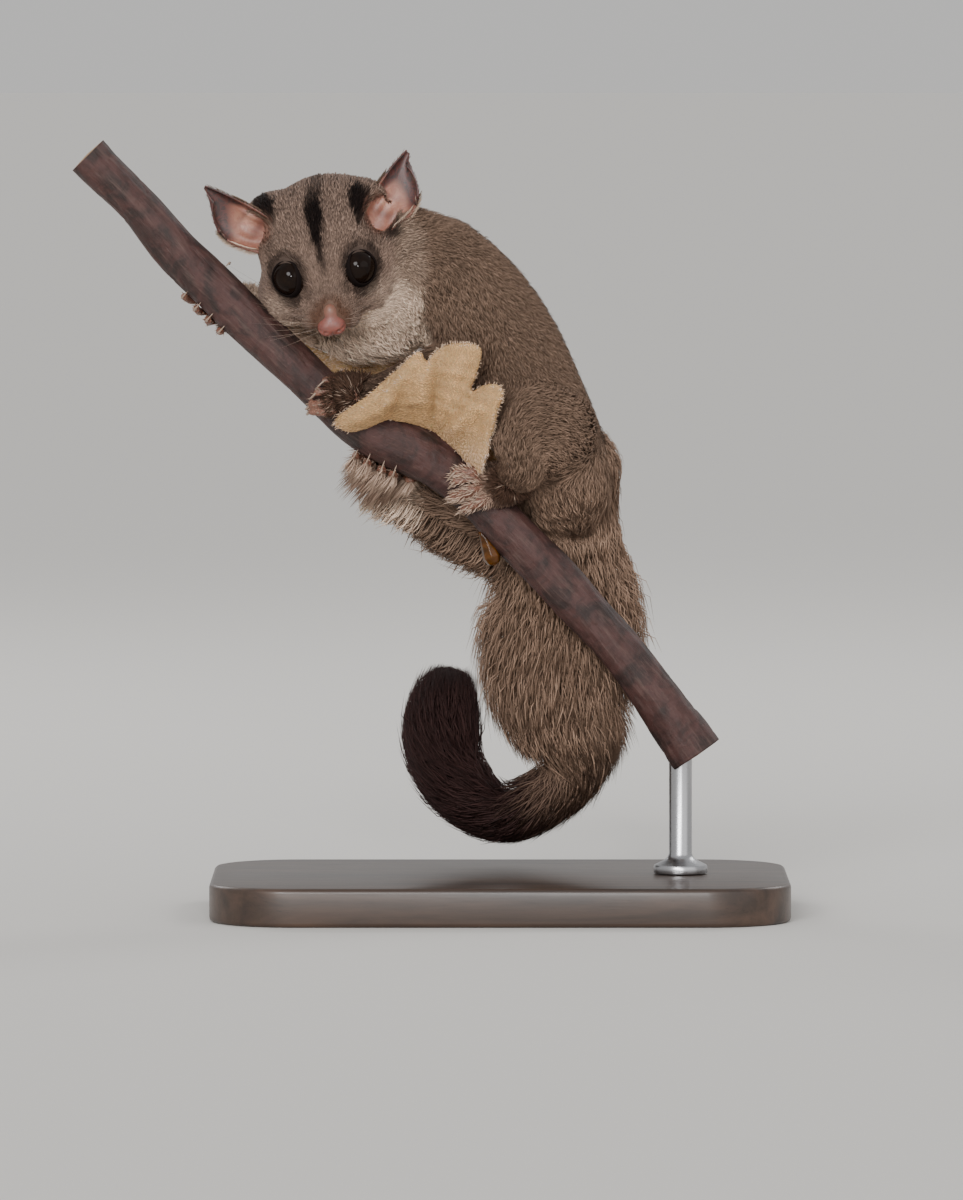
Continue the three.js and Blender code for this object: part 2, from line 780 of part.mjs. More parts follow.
// One ear: a scoop rolled in at its root, with a straight inner edge and a lobed outer one.
function ear({ root, axis, open, nick }, sign) {
  const start = inHead(...root);
  const along = new THREE.Vector3(...axis).normalize();
  const front = new THREE.Vector3(...open);
  front.addScaledVector(along, -front.dot(along)).normalize();
  const outward = new THREE.Vector3().crossVectors(along, front).multiplyScalar(sign);
  const { length, inner, outer, cup, thick, sink } = EAR;
  const surface = (u, v) => {
    const side = 2 * u - 1;
    const innerEdge = inner * (1.1 - v) ** 0.8;
    const outerEdge = outer * Math.sin(Math.PI * Math.min(0.28 + 0.5 * v, 1)) * Math.sqrt(1.02 - v ** 2.4);
    const roll = (1 - v) ** 1.5;
    const bend = Math.sin((side * Math.PI) / 2);
    const across = side < 0 ? innerEdge * bend : outerEdge * bend;
    const hollow = cup * (1 - 0.72 * v) * Math.cos((side * Math.PI) / 2);
    const torn = nick ? 1.8 * Math.exp(-(((u - 0.66) / 0.06) ** 2)) * v ** 10 : 0;
    return start
      .clone()
      .addScaledVector(along, -sink + v * (length + sink) * (1 - 0.2 * Math.max(side, 0) * v) - torn)
      .addScaledVector(outward, across * (1 - 0.3 * roll))
      .addScaledVector(front, 1.5 - hollow + 1.2 * v * v);
  };
  return sheet(surface, 10, 6, () => thick);
}

// Limbs

const limb = (stations, grow, sides = 12, rings = 5, ends = [4, 4]) =>
  loft(stations, { sides, rings, ends, grow });

function shank(name, grow) {
  const leg = limb(LEGS[name].shank, grow, 12, 6, [4, 2.5]);
  return name === "right" ? leg.add(fringe(grow)) : leg;
}

function claw(places, grow) {
  const [root, bend, point] = places.map(onPerch);
  const stations = [
    { centre: root, wide: CLAW.radius, high: CLAW.radius },
    { centre: bend, wide: CLAW.radius * 0.75, high: CLAW.radius * 0.75 },
    { centre: point, wide: 0.2, high: 0.2 },
  ];
  return loft(stations, { sides: 3, rings: 2, capRings: 0, ends: [0.3, 0.2], grow });
}

// One digit curls round the branch from the palm, knuckles out, and ends in a claw in the bark.
function digit({ from, to, thick }, grow, clawed) {
  const [a0, d0] = from;
  const [a1, d1] = to;
  const along = (s) => THREE.MathUtils.lerp(a0, a1, s);
  const round = (s) => THREE.MathUtils.lerp(d0, d1, s);
  const spots = [
    [0, 1.1, 1],
    [0.35, 1.75, 1.05],
    [0.7, 1.35, 0.92],
    [1, 0.95, 0.98],
  ];
  const stations = spots.map(([s, above, size]) => ({
    centre: onPerch([along(s), round(s), above * thick]),
    wide: thick * size,
    high: thick * size * 0.92,
  }));
  const across = perchLine.getTangentAt(a0 / PERCH_LENGTH);
  const finger = loft(stations, { sides: 5, rings: 3, capRings: 0, ends: [1, thick * 0.9], across, grow });
  if (!clawed) return finger;
  const turn = Math.sign(d1 - d0) * (CLAW.length / perchRadius(a1)) * (180 / Math.PI);
  const tip = claw(
    [
      [a1, d1 + turn * 0.2, thick * 1.25],
      [a1, d1 + turn * 0.75, thick * 1.0],
      [a1, d1 + turn * 1.25, 0.5],
    ],
    grow,
  );
  return finger.add(tip);
}

function paw({ palm, digits, thumb }, grow, thumbClaw) {
  const stations = palm.map(({ place, wide, high }) => ({ centre: onPerch(place), wide, high }));
  const across = perchLine.getTangentAt(palm[0].place[0] / PERCH_LENGTH);
  const pad = loft(stations, { sides: 8, rings: 2, capRings: 1, ends: [2, 1.2], across, grow });
  const fingers = digits.map((d) => digit(d, grow, true));
  return together([pad, ...fingers, digit(thumb, grow, thumbClaw)]);
}

// The gliding membranes

function membrane({ root, edge, bulge, ruffle, folds, steps }) {
  const line = (list) => new THREE.CatmullRomCurve3(list.map((p) => new THREE.Vector3(...p)));
  const [inner, outer] = [line(root), line(edge)];
  const surface = (u, v) => {
    const [a, b] = [inner.getPointAt(u), outer.getPoint(u)];
    const rise = Math.sin(Math.PI * v ** 0.8);
    const wave = ruffle * Math.sin(2 * Math.PI * folds * u) + bulge * Math.sin(Math.PI * u) ** 0.5;
    return a.lerp(b, v).addScaledVector(FRONT_TO_BACK, -wave * rise);
  };
  return sheet(surface, steps, 3, (u, v) => MEMBRANE_THICK + 0.4 * v ** 4);
}

// Locks of the coat

// Even draws between -1 and 1 that come out the same each time.
function drawsFrom(seed) {
  let state = seed;
  return () => {
    state = (state * 16807) % 2147483647;
    return (2 * state) / 2147483647 - 1;
  };
}

const LOCK_PLACES = [0, 0.38, 0.84]; // shares of a lock's length
const LOCK_TAPER = [0.85, 1, 0.5];

// A flat lock through three places, widest a little way out, and drawn out to a point.
function lock(places, across, wide, thick, grow) {
  const stations = places.map((centre, i) => ({
    centre,
    wide: wide * LOCK_TAPER[i],
    high: thick * LOCK_TAPER[i],
  }));
  return loft(stations, {
    sides: 3,
    rings: 2,
    capRings: 0,
    ends: [0.2, 0.7 * wide],
    across,
    turn: Math.PI / 2,
    grow,
  });
}

function fringe(grow) {
  const { rows, places, length, wide, thick, sink, rise, sweep, vary, seed } = FRINGE;
  const draw = drawsFrom(seed);
  const course = courseOf(LEGS.right.shank);
  const locks = [];
  rows.forEach((degrees, row) => {
    for (let i = 0; i < places; i++) {
      const t = (i + 0.35 + (row % 2) / 2) / (places + 0.2);
      const angle = THREE.MathUtils.degToRad(degrees + vary.degrees * draw());
      const { middle, tangent, wideDir, highDir, size } = sectionAt(course, t, FRONT_TO_BACK);
      const out = ovalPoint(wideDir, highDir, 1, 1, angle);
      const flow = highDir.clone().addScaledVector(tangent, sweep + vary.sweep * draw()).normalize();
      const long = length * (1 + vary.length * draw()) * (0.82 + 0.18 * Math.sin(Math.PI * t));
      const start = middle.add(ovalPoint(wideDir, highDir, size.x, size.y, angle));
      start.addScaledVector(out, -sink);
      const spots = LOCK_PLACES.map((s) =>
        start
          .clone()
          .addScaledVector(out, (sink + rise) * Math.sqrt(s))
          .addScaledVector(flow, long * s),
      );
      locks.push(lock(spots, tangent, wide, thick, grow));
    }
  });
  return together(locks);
}

// The tail

const tailCourse = courseOf(TAIL);
const TAIL_LENGTH = tailCourse.line.getLength();
const tailCore = TAIL.map(({ centre, wide, high }) => ({
  centre,
  wide: THREE.MathUtils.lerp(TAIL_FLESH, wide, TAIL_LOCK.core),
  high: THREE.MathUtils.lerp(TAIL_FLESH, high, TAIL_LOCK.core),
}));

function tailSection(along) {
  const t = tailCourse.line.getUtoTmapping(Math.min(along / TAIL_LENGTH, 1));
  return { t, ...sectionAt(tailCourse, t, FRONT_TO_BACK) };
}

// A place in the tail's coat: mm along it, the angle round it, and the share of the way from the
// flesh to the tips of the coat. Past the last station the coat closes in.
function inCoat(along, angle, share) {
  const { middle, tangent, wideDir, highDir, size } = tailSection(along);
  const past = Math.max(along - TAIL_LENGTH, 0);
  const close = 1 - past / (2 * TAIL_TIP);
  const wide = THREE.MathUtils.lerp(TAIL_FLESH, size.x, share) * close;
  const high = THREE.MathUtils.lerp(TAIL_FLESH, size.y, share) * close;
  return middle
    .addScaledVector(tangent, past)
    .add(ovalPoint(wideDir, highDir, wide, high, angle));
}

// The locks whose roots lie between two shares of the tail's line.
function tailLocks(from, to, grow) {
  const { spacing, arc, length, thick, fill, core, rise, first, last, fewest, vary, seed } = TAIL_LOCK;
  const draw = drawsFrom(seed);
  const locks = [];
  let row = 0;
  for (let along = first; along < TAIL_LENGTH - last; along += spacing) {
    const { t, size } = tailSection(along);
    const round = Math.PI * (size.x + size.y);
    const count = Math.max(Math.round(round / arc), fewest);
    for (let i = 0; i < count; i++) {
      const angle = ((i + (row % 2) / 2 + vary.place * draw()) / count) * 2 * Math.PI;
      const start = along + vary.start * draw();
      const long = Math.min(length * (1 + vary.length * draw()), TAIL_LENGTH + TAIL_TIP - start);
      const twist = vary.twist * draw();
      const lift = 1 + vary.lift * draw();
      const spots = LOCK_PLACES.map((s, k) => inCoat(start + s * long, angle + twist * s, rise[k] * lift));
      const out = inCoat(along, angle, 1).sub(inCoat(along, angle, core));
      const across = new THREE.Vector3().crossVectors(out, spots[2].clone().sub(spots[0])).normalize();
      const wide = (fill * round) / count;
      if (t >= from && t < to) locks.push(lock(spots, across, wide, thick, grow));
    }
    row += 1;
  }
  return locks;
}

function tailPart(first, last, grow) {
  const [from, to] = [first, last].map((i) => i / (TAIL.length - 1));
  const core = loft(tailCore, {
    sides: 8,
    rings: last - first,
    capRings: first === 0 || last === TAIL.length - 1 ? 1 : 0,
    ends: [first === 0 ? TAIL_ROOT : 0, last === TAIL.length - 1 ? TAIL_TIP / 2 : 0],
    span: [from, to],
    grow,
  });
  return together([core, ...tailLocks(from, to, grow)]);
}

// The pieces, in the order in which they are laid down. Each is cut clear of those before it.

const sides = { left: 1, right: -1 };
const pieces = [
  ["stand_base", STAND_WOOD, () => standBase()],
  ["perch_branch", BARK, perch],
  ["stand_rod", STAND_STEEL, standRod],
  ["perch_gum_drop", AMBER, gumDrop],
  ...Object.entries(sides).map(([name, sign]) => ["eye_" + name, EYE_BLACK, (g) => eye(sign, g)]),
  ["torso", COAT_GREY, (g) => loft(TORSO, { sides: 18, rings: 9, capRings: 3, ends: [11, 9], grow: g })],
  ["neck", COAT_CREAM, (g) => loft(NECK, { sides: 16, rings: 6, capRings: 1, ends: [3, 3], grow: g })],
  ["head", COAT_GREY, head],
  ["nose", NOSE_PINK, nose],
  ...Object.keys(sides).flatMap((name) => [
    ["arm_upper_" + name, COAT_GREY, (g) => limb(ARMS[name].upper, g)],
    ["forearm_" + name, COAT_DARK, (g) => limb(ARMS[name].fore, g, 9, 4, [4, 2])],
    ["hand_" + name, BARE_SKIN, (g) => paw(GRIPS["hand_" + name], g, true)],
    ["thigh_" + name, COAT_GREY, (g) => limb(LEGS[name].thigh, g, 14, 6, [7, 7])],
    ["shank_" + name, COAT_GREY, (g) => shank(name, g)],
    ["foot_" + name, BARE_SKIN, (g) => paw(GRIPS["foot_" + name], g, false)],
  ]),
  ...TAIL_PARTS.map(([first, last], i) => [
    "tail_" + (i + 1),
    i < 2 ? COAT_GREY : COAT_DARK,
    (g) => tailPart(first, last, g),
  ]),
];

// Thin sheets come last, so that nothing has to be cut clear of their edges.
const sheets = Object.entries(sides).flatMap(([name, sign]) => [
  ["ear_" + name, BARE_SKIN, () => ear(EARS[name], sign)],
  ["membrane_" + name, COAT_CREAM, () => membrane(MEMBRANES[name])],
]);

const boxesMeet = (a, b) => {
  const [p, q] = [a.boundingBox(), b.boundingBox()];
  return [0, 1, 2].every((i) => p.min[i] < q.max[i] && q.min[i] < p.max[i]);
};

const display = new THREE.Group();
const laid = [];
for (const [name, material, make] of [...pieces, ...sheets]) {
  let solid = make(0);
  for (const { grown } of laid) if (boxesMeet(solid, grown)) solid = solid.subtract(grown);
  const bodies = solid.decompose().sort((a, b) => b.volume() - a.volume());
  const whole = bodies[0];
  if (pieces.some((piece) => piece[0] === name)) laid.push({ grown: make(GAP) });
  const { vertProperties, triVerts, numProp } = whole.getMesh();
  const points = [];
  for (let i = 0; i < vertProperties.length; i += numProp)
    points.push(new THREE.Vector3().fromArray(vertProperties, i));
  const cutFaces = [];
  for (let i = 0; i < triVerts.length; i += 3) cutFaces.push([...triVerts.slice(i, i + 3)]);
  const faces = closeShortEdges(points, cutFaces);
  const used = new Map([...new Set(faces.flat())].map((a, i) => [a, i]));
  const geometry = new THREE.BufferGeometry().setFromPoints([...used.keys()].map((a) => points[a]));
  geometry.setIndex(faces.flat().map((a) => used.get(a)));
  geometry.computeVertexNormals();
  const mesh = new THREE.Mesh(geometry, material);
  mesh.name = name;
  display.add(mesh);
}

export default display;
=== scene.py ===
"""A sugar glider gripping a sloping branch, as a life-size still model on a display stand.

Sizes named here are in millimetres, as in the model's own frame, and meshes are stored in metres.
"""
import math

import bpy
import numpy as np
from bpy.props import FloatProperty, FloatVectorProperty, IntProperty, PointerProperty
from bpy.types import Operator, Panel, PropertyGroup
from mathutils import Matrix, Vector, noise
from mathutils.bvhtree import BVHTree
from mathutils.kdtree import KDTree


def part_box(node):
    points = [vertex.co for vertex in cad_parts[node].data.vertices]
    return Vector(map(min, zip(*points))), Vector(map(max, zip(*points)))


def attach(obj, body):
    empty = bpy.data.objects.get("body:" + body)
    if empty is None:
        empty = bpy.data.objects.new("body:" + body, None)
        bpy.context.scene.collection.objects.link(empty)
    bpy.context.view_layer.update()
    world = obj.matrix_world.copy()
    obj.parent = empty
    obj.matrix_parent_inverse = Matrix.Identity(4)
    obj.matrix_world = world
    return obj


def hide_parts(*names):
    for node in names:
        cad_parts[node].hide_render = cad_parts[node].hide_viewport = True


bl_info = {
    "name": "Sugar glider display model",
    "version": (1, 0, 0),
    "blender": (4, 5, 0),
    "location": "View3D > Sidebar > Glider",
    "description": "Builds the skin, coat, eyes, ears, membranes, branch and stand of a sugar glider",
    "category": "Object",
}

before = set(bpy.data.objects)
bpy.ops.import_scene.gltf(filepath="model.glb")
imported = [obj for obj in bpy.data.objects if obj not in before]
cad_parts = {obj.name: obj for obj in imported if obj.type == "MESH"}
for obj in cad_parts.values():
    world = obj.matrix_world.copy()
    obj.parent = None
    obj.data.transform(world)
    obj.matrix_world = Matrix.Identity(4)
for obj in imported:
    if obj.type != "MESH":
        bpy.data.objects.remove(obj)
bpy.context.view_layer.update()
MM = 0.001


def tint(code):
    """A colour written as in paint charts, as the linear values that a shader takes."""
    parts = [int(code[i : i + 2], 16) / 255 for i in (0, 2, 4)]
    return tuple(c / 12.92 if c <= 0.04045 else ((c + 0.055) / 1.055) ** 2.4 for c in parts)


# Sizes shared with the solids

# The torso: x, y and z of its middle line, and its radius there.
TORSO = [
    (-17.7, 7, 168.5, 17),
    (-8.6, 7, 159, 18),
    (0.2, 7, 146.4, 18.5),
    (7.4, 7, 133, 18),
    (13.8, 7.5, 120.4, 16),
    (17.6, 8, 109, 13.5),
]
# The tail: x, y and z of its middle line, and half its depth and half its width with the hair.
TAIL = [
    (19, 10.5, 118, 12, 12),
    (16, 16, 102, 14, 16),
    (16.7, 21.5, 84, 14.6, 22.2),
    (15.6, 22.5, 68.5, 15, 22.2),
    (16, 20.5, 54.5, 14.6, 17.4),
    (20.6, 19.6, 41.6, 12, 9.6),
    (14.4, 22.4, 30.4, 11, 7.8),
    (2, 27, 24, 11, 8.2),
    (-10.6, 31, 31, 11, 9.8),
    (-15.4, 33, 45, 11, 10.6),
    (-13.6, 33, 57, 6, 6.6),
]
TAIL_FLESH = 3.2
TAIL_TIP = 8
# How much of the tail's hair stands clear of its flesh, by the share of its length
TAIL_LOFT = ([0, 0.06, 0.22, 1], [0.12, 0.22, 0.9, 1])
SHANK_RIGHT = [
    (4.5, 22, 96.5, 8.5, 9),
    (-9, 19, 102, 7.4, 8.2),
    (-21, 15, 108.6, 5.8, 7),
    (-31, 12.5, 113.6, 4.4, 5.2),
]
# The branch: x, y and z of its middle line, and its radius.
PERCH = [
    (-106.9, 0, 197, 5.6),
    (-94.8, 0.5, 184.7, 5.4),
    (-82.7, 0.3, 170.8, 5.7),
    (-64.6, 0, 153.3, 5.7),
    (-46.6, -0.3, 136, 5.8),
    (-34.7, 0, 125.9, 6.2),
    (-20.6, 0.3, 119.6, 6.7),
    (-11.5, 0.5, 113.1, 5.9),
    (-0.1, 0, 102.1, 5.9),
    (13.9, -0.3, 87.5, 5.9),
    (27.9, 0, 72.4, 5.8),
    (42.6, 0.3, 53.5, 6.5),
    (51, 0, 41.1, 7),
]
# Where the head sits, and how it is turned. Its own places are given by side, front and up.
HEAD_AT = (-45.8, 2, 170.4)
HEAD_PITCH, HEAD_ROLL, HEAD_YAW = 38, 10, 2
HEAD_CENTRE = (0, 3, -1.5)
HEAD_BLEND = 1.1


def pair(side, *rest):
    """The same form on both sides of the head."""
    return [(side, *rest), (-side, *rest)]


# Each form of the head: its middle, by side, front and up, and its three half sizes.
HEAD_BALLS = [
    (0, -5, 1.8, 17, 16, 15),
    (2.5, -10, 3.5, 14.5, 12, 13),
    (0, 3, 1.8, 13, 11.5, 10),
    (0, 12.5, -3.6, 7.4, 9.5, 6.2),
    (0, 19.4, -5.6, 4, 4.2, 3.8),
    (0, 11.5, -9, 5.8, 8, 3.6),
    *pair(10, 4, -6.5, 8.4, 10, 8),
    *pair(4, 16.4, -6.6, 3.7, 4.3, 3.4),
    *pair(8.2, 5.5, 3, 6.4, 6.4, 6.4),
    *pair(11.5, -9, 9, 7.5, 7.5, 6),
]
NOSE_CENTRE = (0, 21.4, -5)
NOSE_BALLS = [
    (0, 21.6, -4.9, 3.5, 2.9, 2.8),
    (0.2, 20, -2.4, 2.15, 2.35, 2.8),
    *pair(1.7, 22.6, -5.2, 1.6, 1.7, 1.7),
]
NOSE_BLEND = 0.5
# The pit of the nostril and the slit beside it: middle and half sizes, by side, front and up.
NOSTRIL = ((1.75, 23.8, -5.2), (0.62, 1.2, 0.5))
NOSTRIL_SLIT = ((2.9, 23.2, -4.7), (0.9, 1.2, 0.28))
MOUTH = [
    (-8.6, 10.5, -9.4),
    (-6.2, 15, -10),
    (-3.4, 19.6, -9.9),
    (0, 22, -8.8),
    (3.4, 19.6, -9.9),
    (6.2, 15, -10),
    (8.6, 10.5, -9.4),
]
EYE = (8.4, 9, 2.6)
EYE_RADIUS = 5.3
GAZE = (0.4, 0.72, 0.5)
# The opening between the lids: its half sizes, and its lean in degrees
LID = {"wide": 3.45, "tall": 4.45, "lean": -8}
# The section of the ring of lids: how many times as wide as the opening, and how far over the eye
LID_PROFILE = [
    (1.03, -0.25), (1.0, 0.02), (0.985, 0.16), (1.0, 0.3), (1.04, 0.38),
    (1.1, 0.36), (1.18, 0.2), (1.27, -0.15), (1.33, -0.9), (1.2, -1.2),
]
# Each ear: its root in the head, the way it points and the way its cup opens, and its torn tip's depth.
EARS = {
    "left": {"root": (16.6, -6.5, 7.2), "axis": (6.6, 6.5, 13.4), "open": (-0.02, -0.98, 0.1), "nick": 1.8},
    "right": {"root": (-15.4, -6.5, 8), "axis": (-13.8, 1.5, 10.4), "open": (-0.2, -0.96, -0.24), "nick": 0},
}
EAR = {"length": 17.5, "inner": 5.6, "outer": 9.2, "cup": 4.6, "thick": 0.7, "sink": 4}
# The hollow before each ear: x and z of its middle, its reach across and up, and its depth.
EAR_HOLLOWS = {1: (-31.6, 181.6, 4.6, 5.4, 9.5), -1: (-63.0, 177.4, 4.4, 4.6, 8.5)}
SIDES = {"left": 1, "right": -1}

# Lines that the coat lies along, root to tip: x, y, z, reach of the form, hair length, coat depth.
GUIDES = {
    "spine": [
        (-40, 10, 178, 17, 2.8, 1.1),
        (-28, 8, 172, 18, 2.8, 1.3),
        *[(*s, 2.8, 1.4) for s in TORSO[:4]],
        (*TORSO[4], 4.6, 1.8),
        (*TORSO[5], 10.5, 2.6),
    ],
    "arm_left": [
        (-12, -4, 163, 9.5, 5, 1.6),
        (-9, -7.6, 155.5, 8.5, 5, 1.5),
        (-6.5, -9.5, 147.5, 6.5, 4.6, 1.4),
        (-17, -9.6, 142.4, 5.5, 4.6, 1.2),
        (-27, -9.6, 137.6, 4.8, 4, 1),
        (-34, -9.8, 135, 3.8, 3, 0.7),
    ],
    "arm_right": [
        (-12, 20, 163, 9.5, 5, 1.6),
        (-22, 24.5, 156, 8, 5, 1.5),
        (-35, 25.5, 149, 6.3, 4.6, 1.3),
        (-47, 23, 151, 5.2, 4.6, 1.1),
        (-58, 17.5, 155, 4.2, 4, 0.9),
        (-66.5, 12.5, 156.5, 3.2, 3, 0.6),
    ],
    "leg_left": [
        (15.5, 1, 123, 11.5, 4.8, 1.8),
        (12, -7, 125.6, 12.5, 4.4, 1.7),
        (6.5, -13, 127, 10, 4, 1.5),
        (6.6, -14, 118.5, 6.6, 4.6, 1.2),
        (4, -11.5, 113, 5.3, 4, 0.8),
    ],
    "leg_right": [(14, 13, 123, 11, 7, 1.9), (12.5, 20, 110, 12, 8, 2), (6.5, 22, 98, 10.7, 9, 2)],
    "shank_right": [
        (4.5, 22, 96.5, 8.8, 12, 3),
        (-9, 19, 102, 7.8, 13.5, 3.4),
        (-21, 15, 108.6, 6.4, 12, 3),
        (-31, 12.5, 113.6, 4.8, 9, 2),
    ],
}


# Settings


def colour(name, description, code):
    return FloatVectorProperty(
        name=name, description=description, subtype="COLOR", size=3, min=0, max=1, default=tint(code)
    )


def length(name, description, millimetres):
    return FloatProperty(
        name=name, description=description, unit="LENGTH", default=millimetres * MM, min=0, precision=5
    )


def tuft_count(name, description, default):
    return IntProperty(name=name, description=description, default=default, min=1000)


class GliderCoat(PropertyGroup):
    """Colours and density of the fur."""

    back: colour("Back", "Grey-brown of the back and the flanks", "7f6858")
    face: colour("Face", "Grey of the forehead and the cheeks", "867063")
    throat: colour("Throat", "Cream of the throat, chest and belly", "e2c8b2")
    stripe: colour("Stripe", "Blackish brown of the stripe and the ear bases", "150b08")
    muzzle: colour("Muzzle", "Warm brown round the nose", "5a3b2b")
    tail: colour("Tail", "Pale brown of the rump and the tail's first half", "8f7563")
    tail_end: colour("Tail end", "Blackish brown of the tail's end", "33211f")
    arm: colour("Arm", "Dark brown along the arm and over the foot", "3f291d")
    short_hairs: tuft_count("Short hairs", "Tufts on the face", 28000)
    body_hairs: tuft_count("Body hairs", "Tufts on the body and legs", 64000)
    long_hairs: tuft_count("Long hairs", "Tufts on the tail and the leg fringe", 34000)


class GliderSkin(PropertyGroup):
    """Colours and sizes of the bare parts."""

    under: colour("Under the fur", "Skin that shows between the hairs", "5d4c42")
    nose: colour("Nose", "Pink of the nose pad", "8a5045")
    ear_pink: colour("Ear, inner", "Pink of the lower half of the ear", "9a6a58")
    ear_grey: colour("Ear, outer", "Thin grey skin of the upper half of the ear", "3c2e2c")
    digits: colour("Digits", "Pinkish brown of the hands and feet", "734c3c")
    claw: colour("Claws", "Pale horn", "a8907e")
    membrane: colour("Membrane", "Cream fur of the gliding membrane", "d2aa7a")
    grain: length("Skin grain", "Voxel size that the skin is joined at", 0.45)


class GliderPerch(PropertyGroup):
    """Colours of the branch and the stand."""

    bark: colour("Bark", "Reddish brown bark", "472c28")
    bark_dark: colour("Bark, dark", "Dark weathered patches", "281a17")
    bark_pale: colour("Bark, pale", "Grey lichen-like bloom", "68534b")
    gum: colour("Gum", "Amber of the hanging drop of gum", "4a2a0a")
    wood: colour("Base", "Dark stained wood of the base", "3a2a20")
    steel: colour("Rod", "Brushed steel of the rod", "b4b4b6")


class GliderStage(PropertyGroup):
    """The studio."""

    floor: colour("Floor", "Plain pale floor", "d9d6d1")
    distance: length("Camera distance", "From the middle of the picture", 2700)
    lens: FloatProperty(name="Lens", description="Focal length in mm", default=311.5, min=10)


# Curves and surfaces in numpy


def curve(points, t, even=False):
    """Points on the smooth line through the points given, at t from 0 to 1."""
    p = np.asarray(points, float)
    last = len(p) - 1
    spot = np.clip(np.asarray(t, float), 0, 1) * last
    i = np.minimum(spot.astype(int), last - 1)
    w = (spot - i)[:, None]
    padded = np.vstack([2 * p[0] - p[1], p, 2 * p[-1] - p[-2]])
    a, b, c, d = (padded[i + k] for k in range(4))
    if even:
        out, into = (c - a) / 2, (d - b) / 2
    else:
        steps = [np.linalg.norm(q - r, axis=1, keepdims=True) for q, r in ((b, a), (c, b), (d, c))]
        g0, g1, g2 = (np.maximum(step, 1e-8) ** 0.5 for step in steps)
        out = ((b - a) / g0 - (c - a) / (g0 + g1) + (c - b) / g1) * g1
        into = ((c - b) / g1 - (d - b) / (g1 + g2) + (d - c) / g2) * g1
    return b + w * (out + w * (3 * (c - b) - 2 * out - into + w * (2 * (b - c) + out + into)))


def run_along(points):
    """How far along a row of points each one is."""
    return np.concatenate([[0], np.cumsum(np.linalg.norm(np.diff(points, axis=0), axis=1))])


def unit(v):
    return v / np.maximum(np.linalg.norm(v, axis=-1, keepdims=True), 1e-12)


def laid(ways, normals):
    """Directions laid flat on a surface."""
    return unit(ways - (ways * normals).sum(1, keepdims=True) * normals)


def smoothstep(low, high, x):
    s = np.clip((np.asarray(x, float) - low) / (high - low), 0, 1)
    return s * s * (3 - 2 * s)


def band(x, start, full, fade, end):
    """1 from full to fade, and softly down to 0 at start and at end."""
    return smoothstep(start, full, x) * smoothstep(end, fade, x)


def hump(x, middle, spread):
    """1 at the middle, and softly down on both sides."""
    return np.exp(-(((x - middle) / spread) ** 2))


def tangents(points):
    return unit(np.gradient(points, axis=0))


def frames(points, across=(0, 1, 0)):
    """The direction along a row of points, and the two directions across it."""
    along = tangents(points)
    side = laid(np.broadcast_to(np.asarray(across, float), along.shape), along)
    return along, side, np.cross(along, side)


def grid_faces(grid):
    """Faces between the rows and columns of a grid of corners."""
    corners = [grid[:-1, :-1], grid[:-1, 1:], grid[1:, 1:], grid[1:, :-1]]
    return np.stack(corners, -1).reshape(-1, 4)


def ring_grid(rings, sides):
    """The corners of rows of rings, with each ring's first corner once more at its end."""
    grid = np.arange(rings * sides).reshape(rings, sides)
    return np.column_stack([grid, grid[:, 0]])


def ring_faces(rings, sides):
    """Faces round rows of rings, with both ends closed on the two points that follow the rings."""
    grid = ring_grid(rings, sides)
    first, last = (np.full(sides, rings * sides + k) for k in (0, 1))
    start = np.stack([first, grid[0, 1:], grid[0, :-1]], 1)
    end = np.stack([last, grid[-1, :-1], grid[-1, 1:]], 1)
    return [grid_faces(grid), np.vstack([start, end])]


def tube(centres, wide, high, sides, ends=(0, 0), across=(0, 1, 0), lump=None):
    """A closed tube of oval sections, as points and faces."""
    along, side, up = frames(centres, across)
    a = np.linspace(0, 2 * np.pi, sides, endpoint=False)
    grow = np.zeros((len(centres), sides)) if lump is None else lump
    out = side[:, None] * ((wide[:, None] + grow) * np.cos(a))[..., None]
    rise = up[:, None] * ((high[:, None] + grow) * np.sin(a))[..., None]
    rings = centres[:, None] + out + rise
    caps = [centres[0] - along[0] * ends[0], centres[-1] + along[-1] * ends[1]]
    return np.vstack([rings.reshape(-1, 3), *caps]), ring_faces(len(centres), sides)


def rounded(stations, sides, rings, ends):
    """A closed form through oval stations, with both ends rounded off."""
    table = np.asarray(stations, float)
    cap = np.linspace(0, np.pi / 2, 7)[1:-1]
    t = np.linspace(0, 1, rings)
    centres = curve(table[:, :3], t)
    sizes = curve(table[:, 3:5], t, even=True)
    along = tangents(centres)
    head = [centres[0] - along[0] * ends[0] * math.cos(a) for a in cap]
    tail = [centres[-1] + along[-1] * ends[1] * math.cos(a) for a in cap[::-1]]
    shrink = np.concatenate([np.sin(cap), np.ones(rings), np.sin(cap[::-1])])
    sizes = np.vstack([np.repeat(sizes[:1], len(cap), 0), sizes, np.repeat(sizes[-1:], len(cap), 0)])
    wide, high = (sizes * shrink[:, None]).T
    tips = (ends[0] * 0.04, ends[1] * 0.04)
    return tube(np.vstack([head, centres, tail]), wide, high, sides, ends=tips)


def turn(axis, degrees):
    c, s = math.cos(math.radians(degrees)), math.sin(math.radians(degrees))
    rows = {
        "x": [[1, 0, 0], [0, c, -s], [0, s, c]],
        "y": [[c, 0, s], [0, 1, 0], [-s, 0, c]],
        "z": [[c, -s, 0], [s, c, 0], [0, 0, 1]],
    }
    return np.array(rows[axis])


HEAD_TURN = turn("y", -HEAD_ROLL) @ turn("x", HEAD_PITCH) @ turn("z", -HEAD_YAW) @ np.diag([1, -1, 1])


def from_head(points):
    return np.asarray(points, float) @ HEAD_TURN.T + HEAD_AT


def to_head(points):
    return (np.asarray(points, float) - HEAD_AT) @ HEAD_TURN


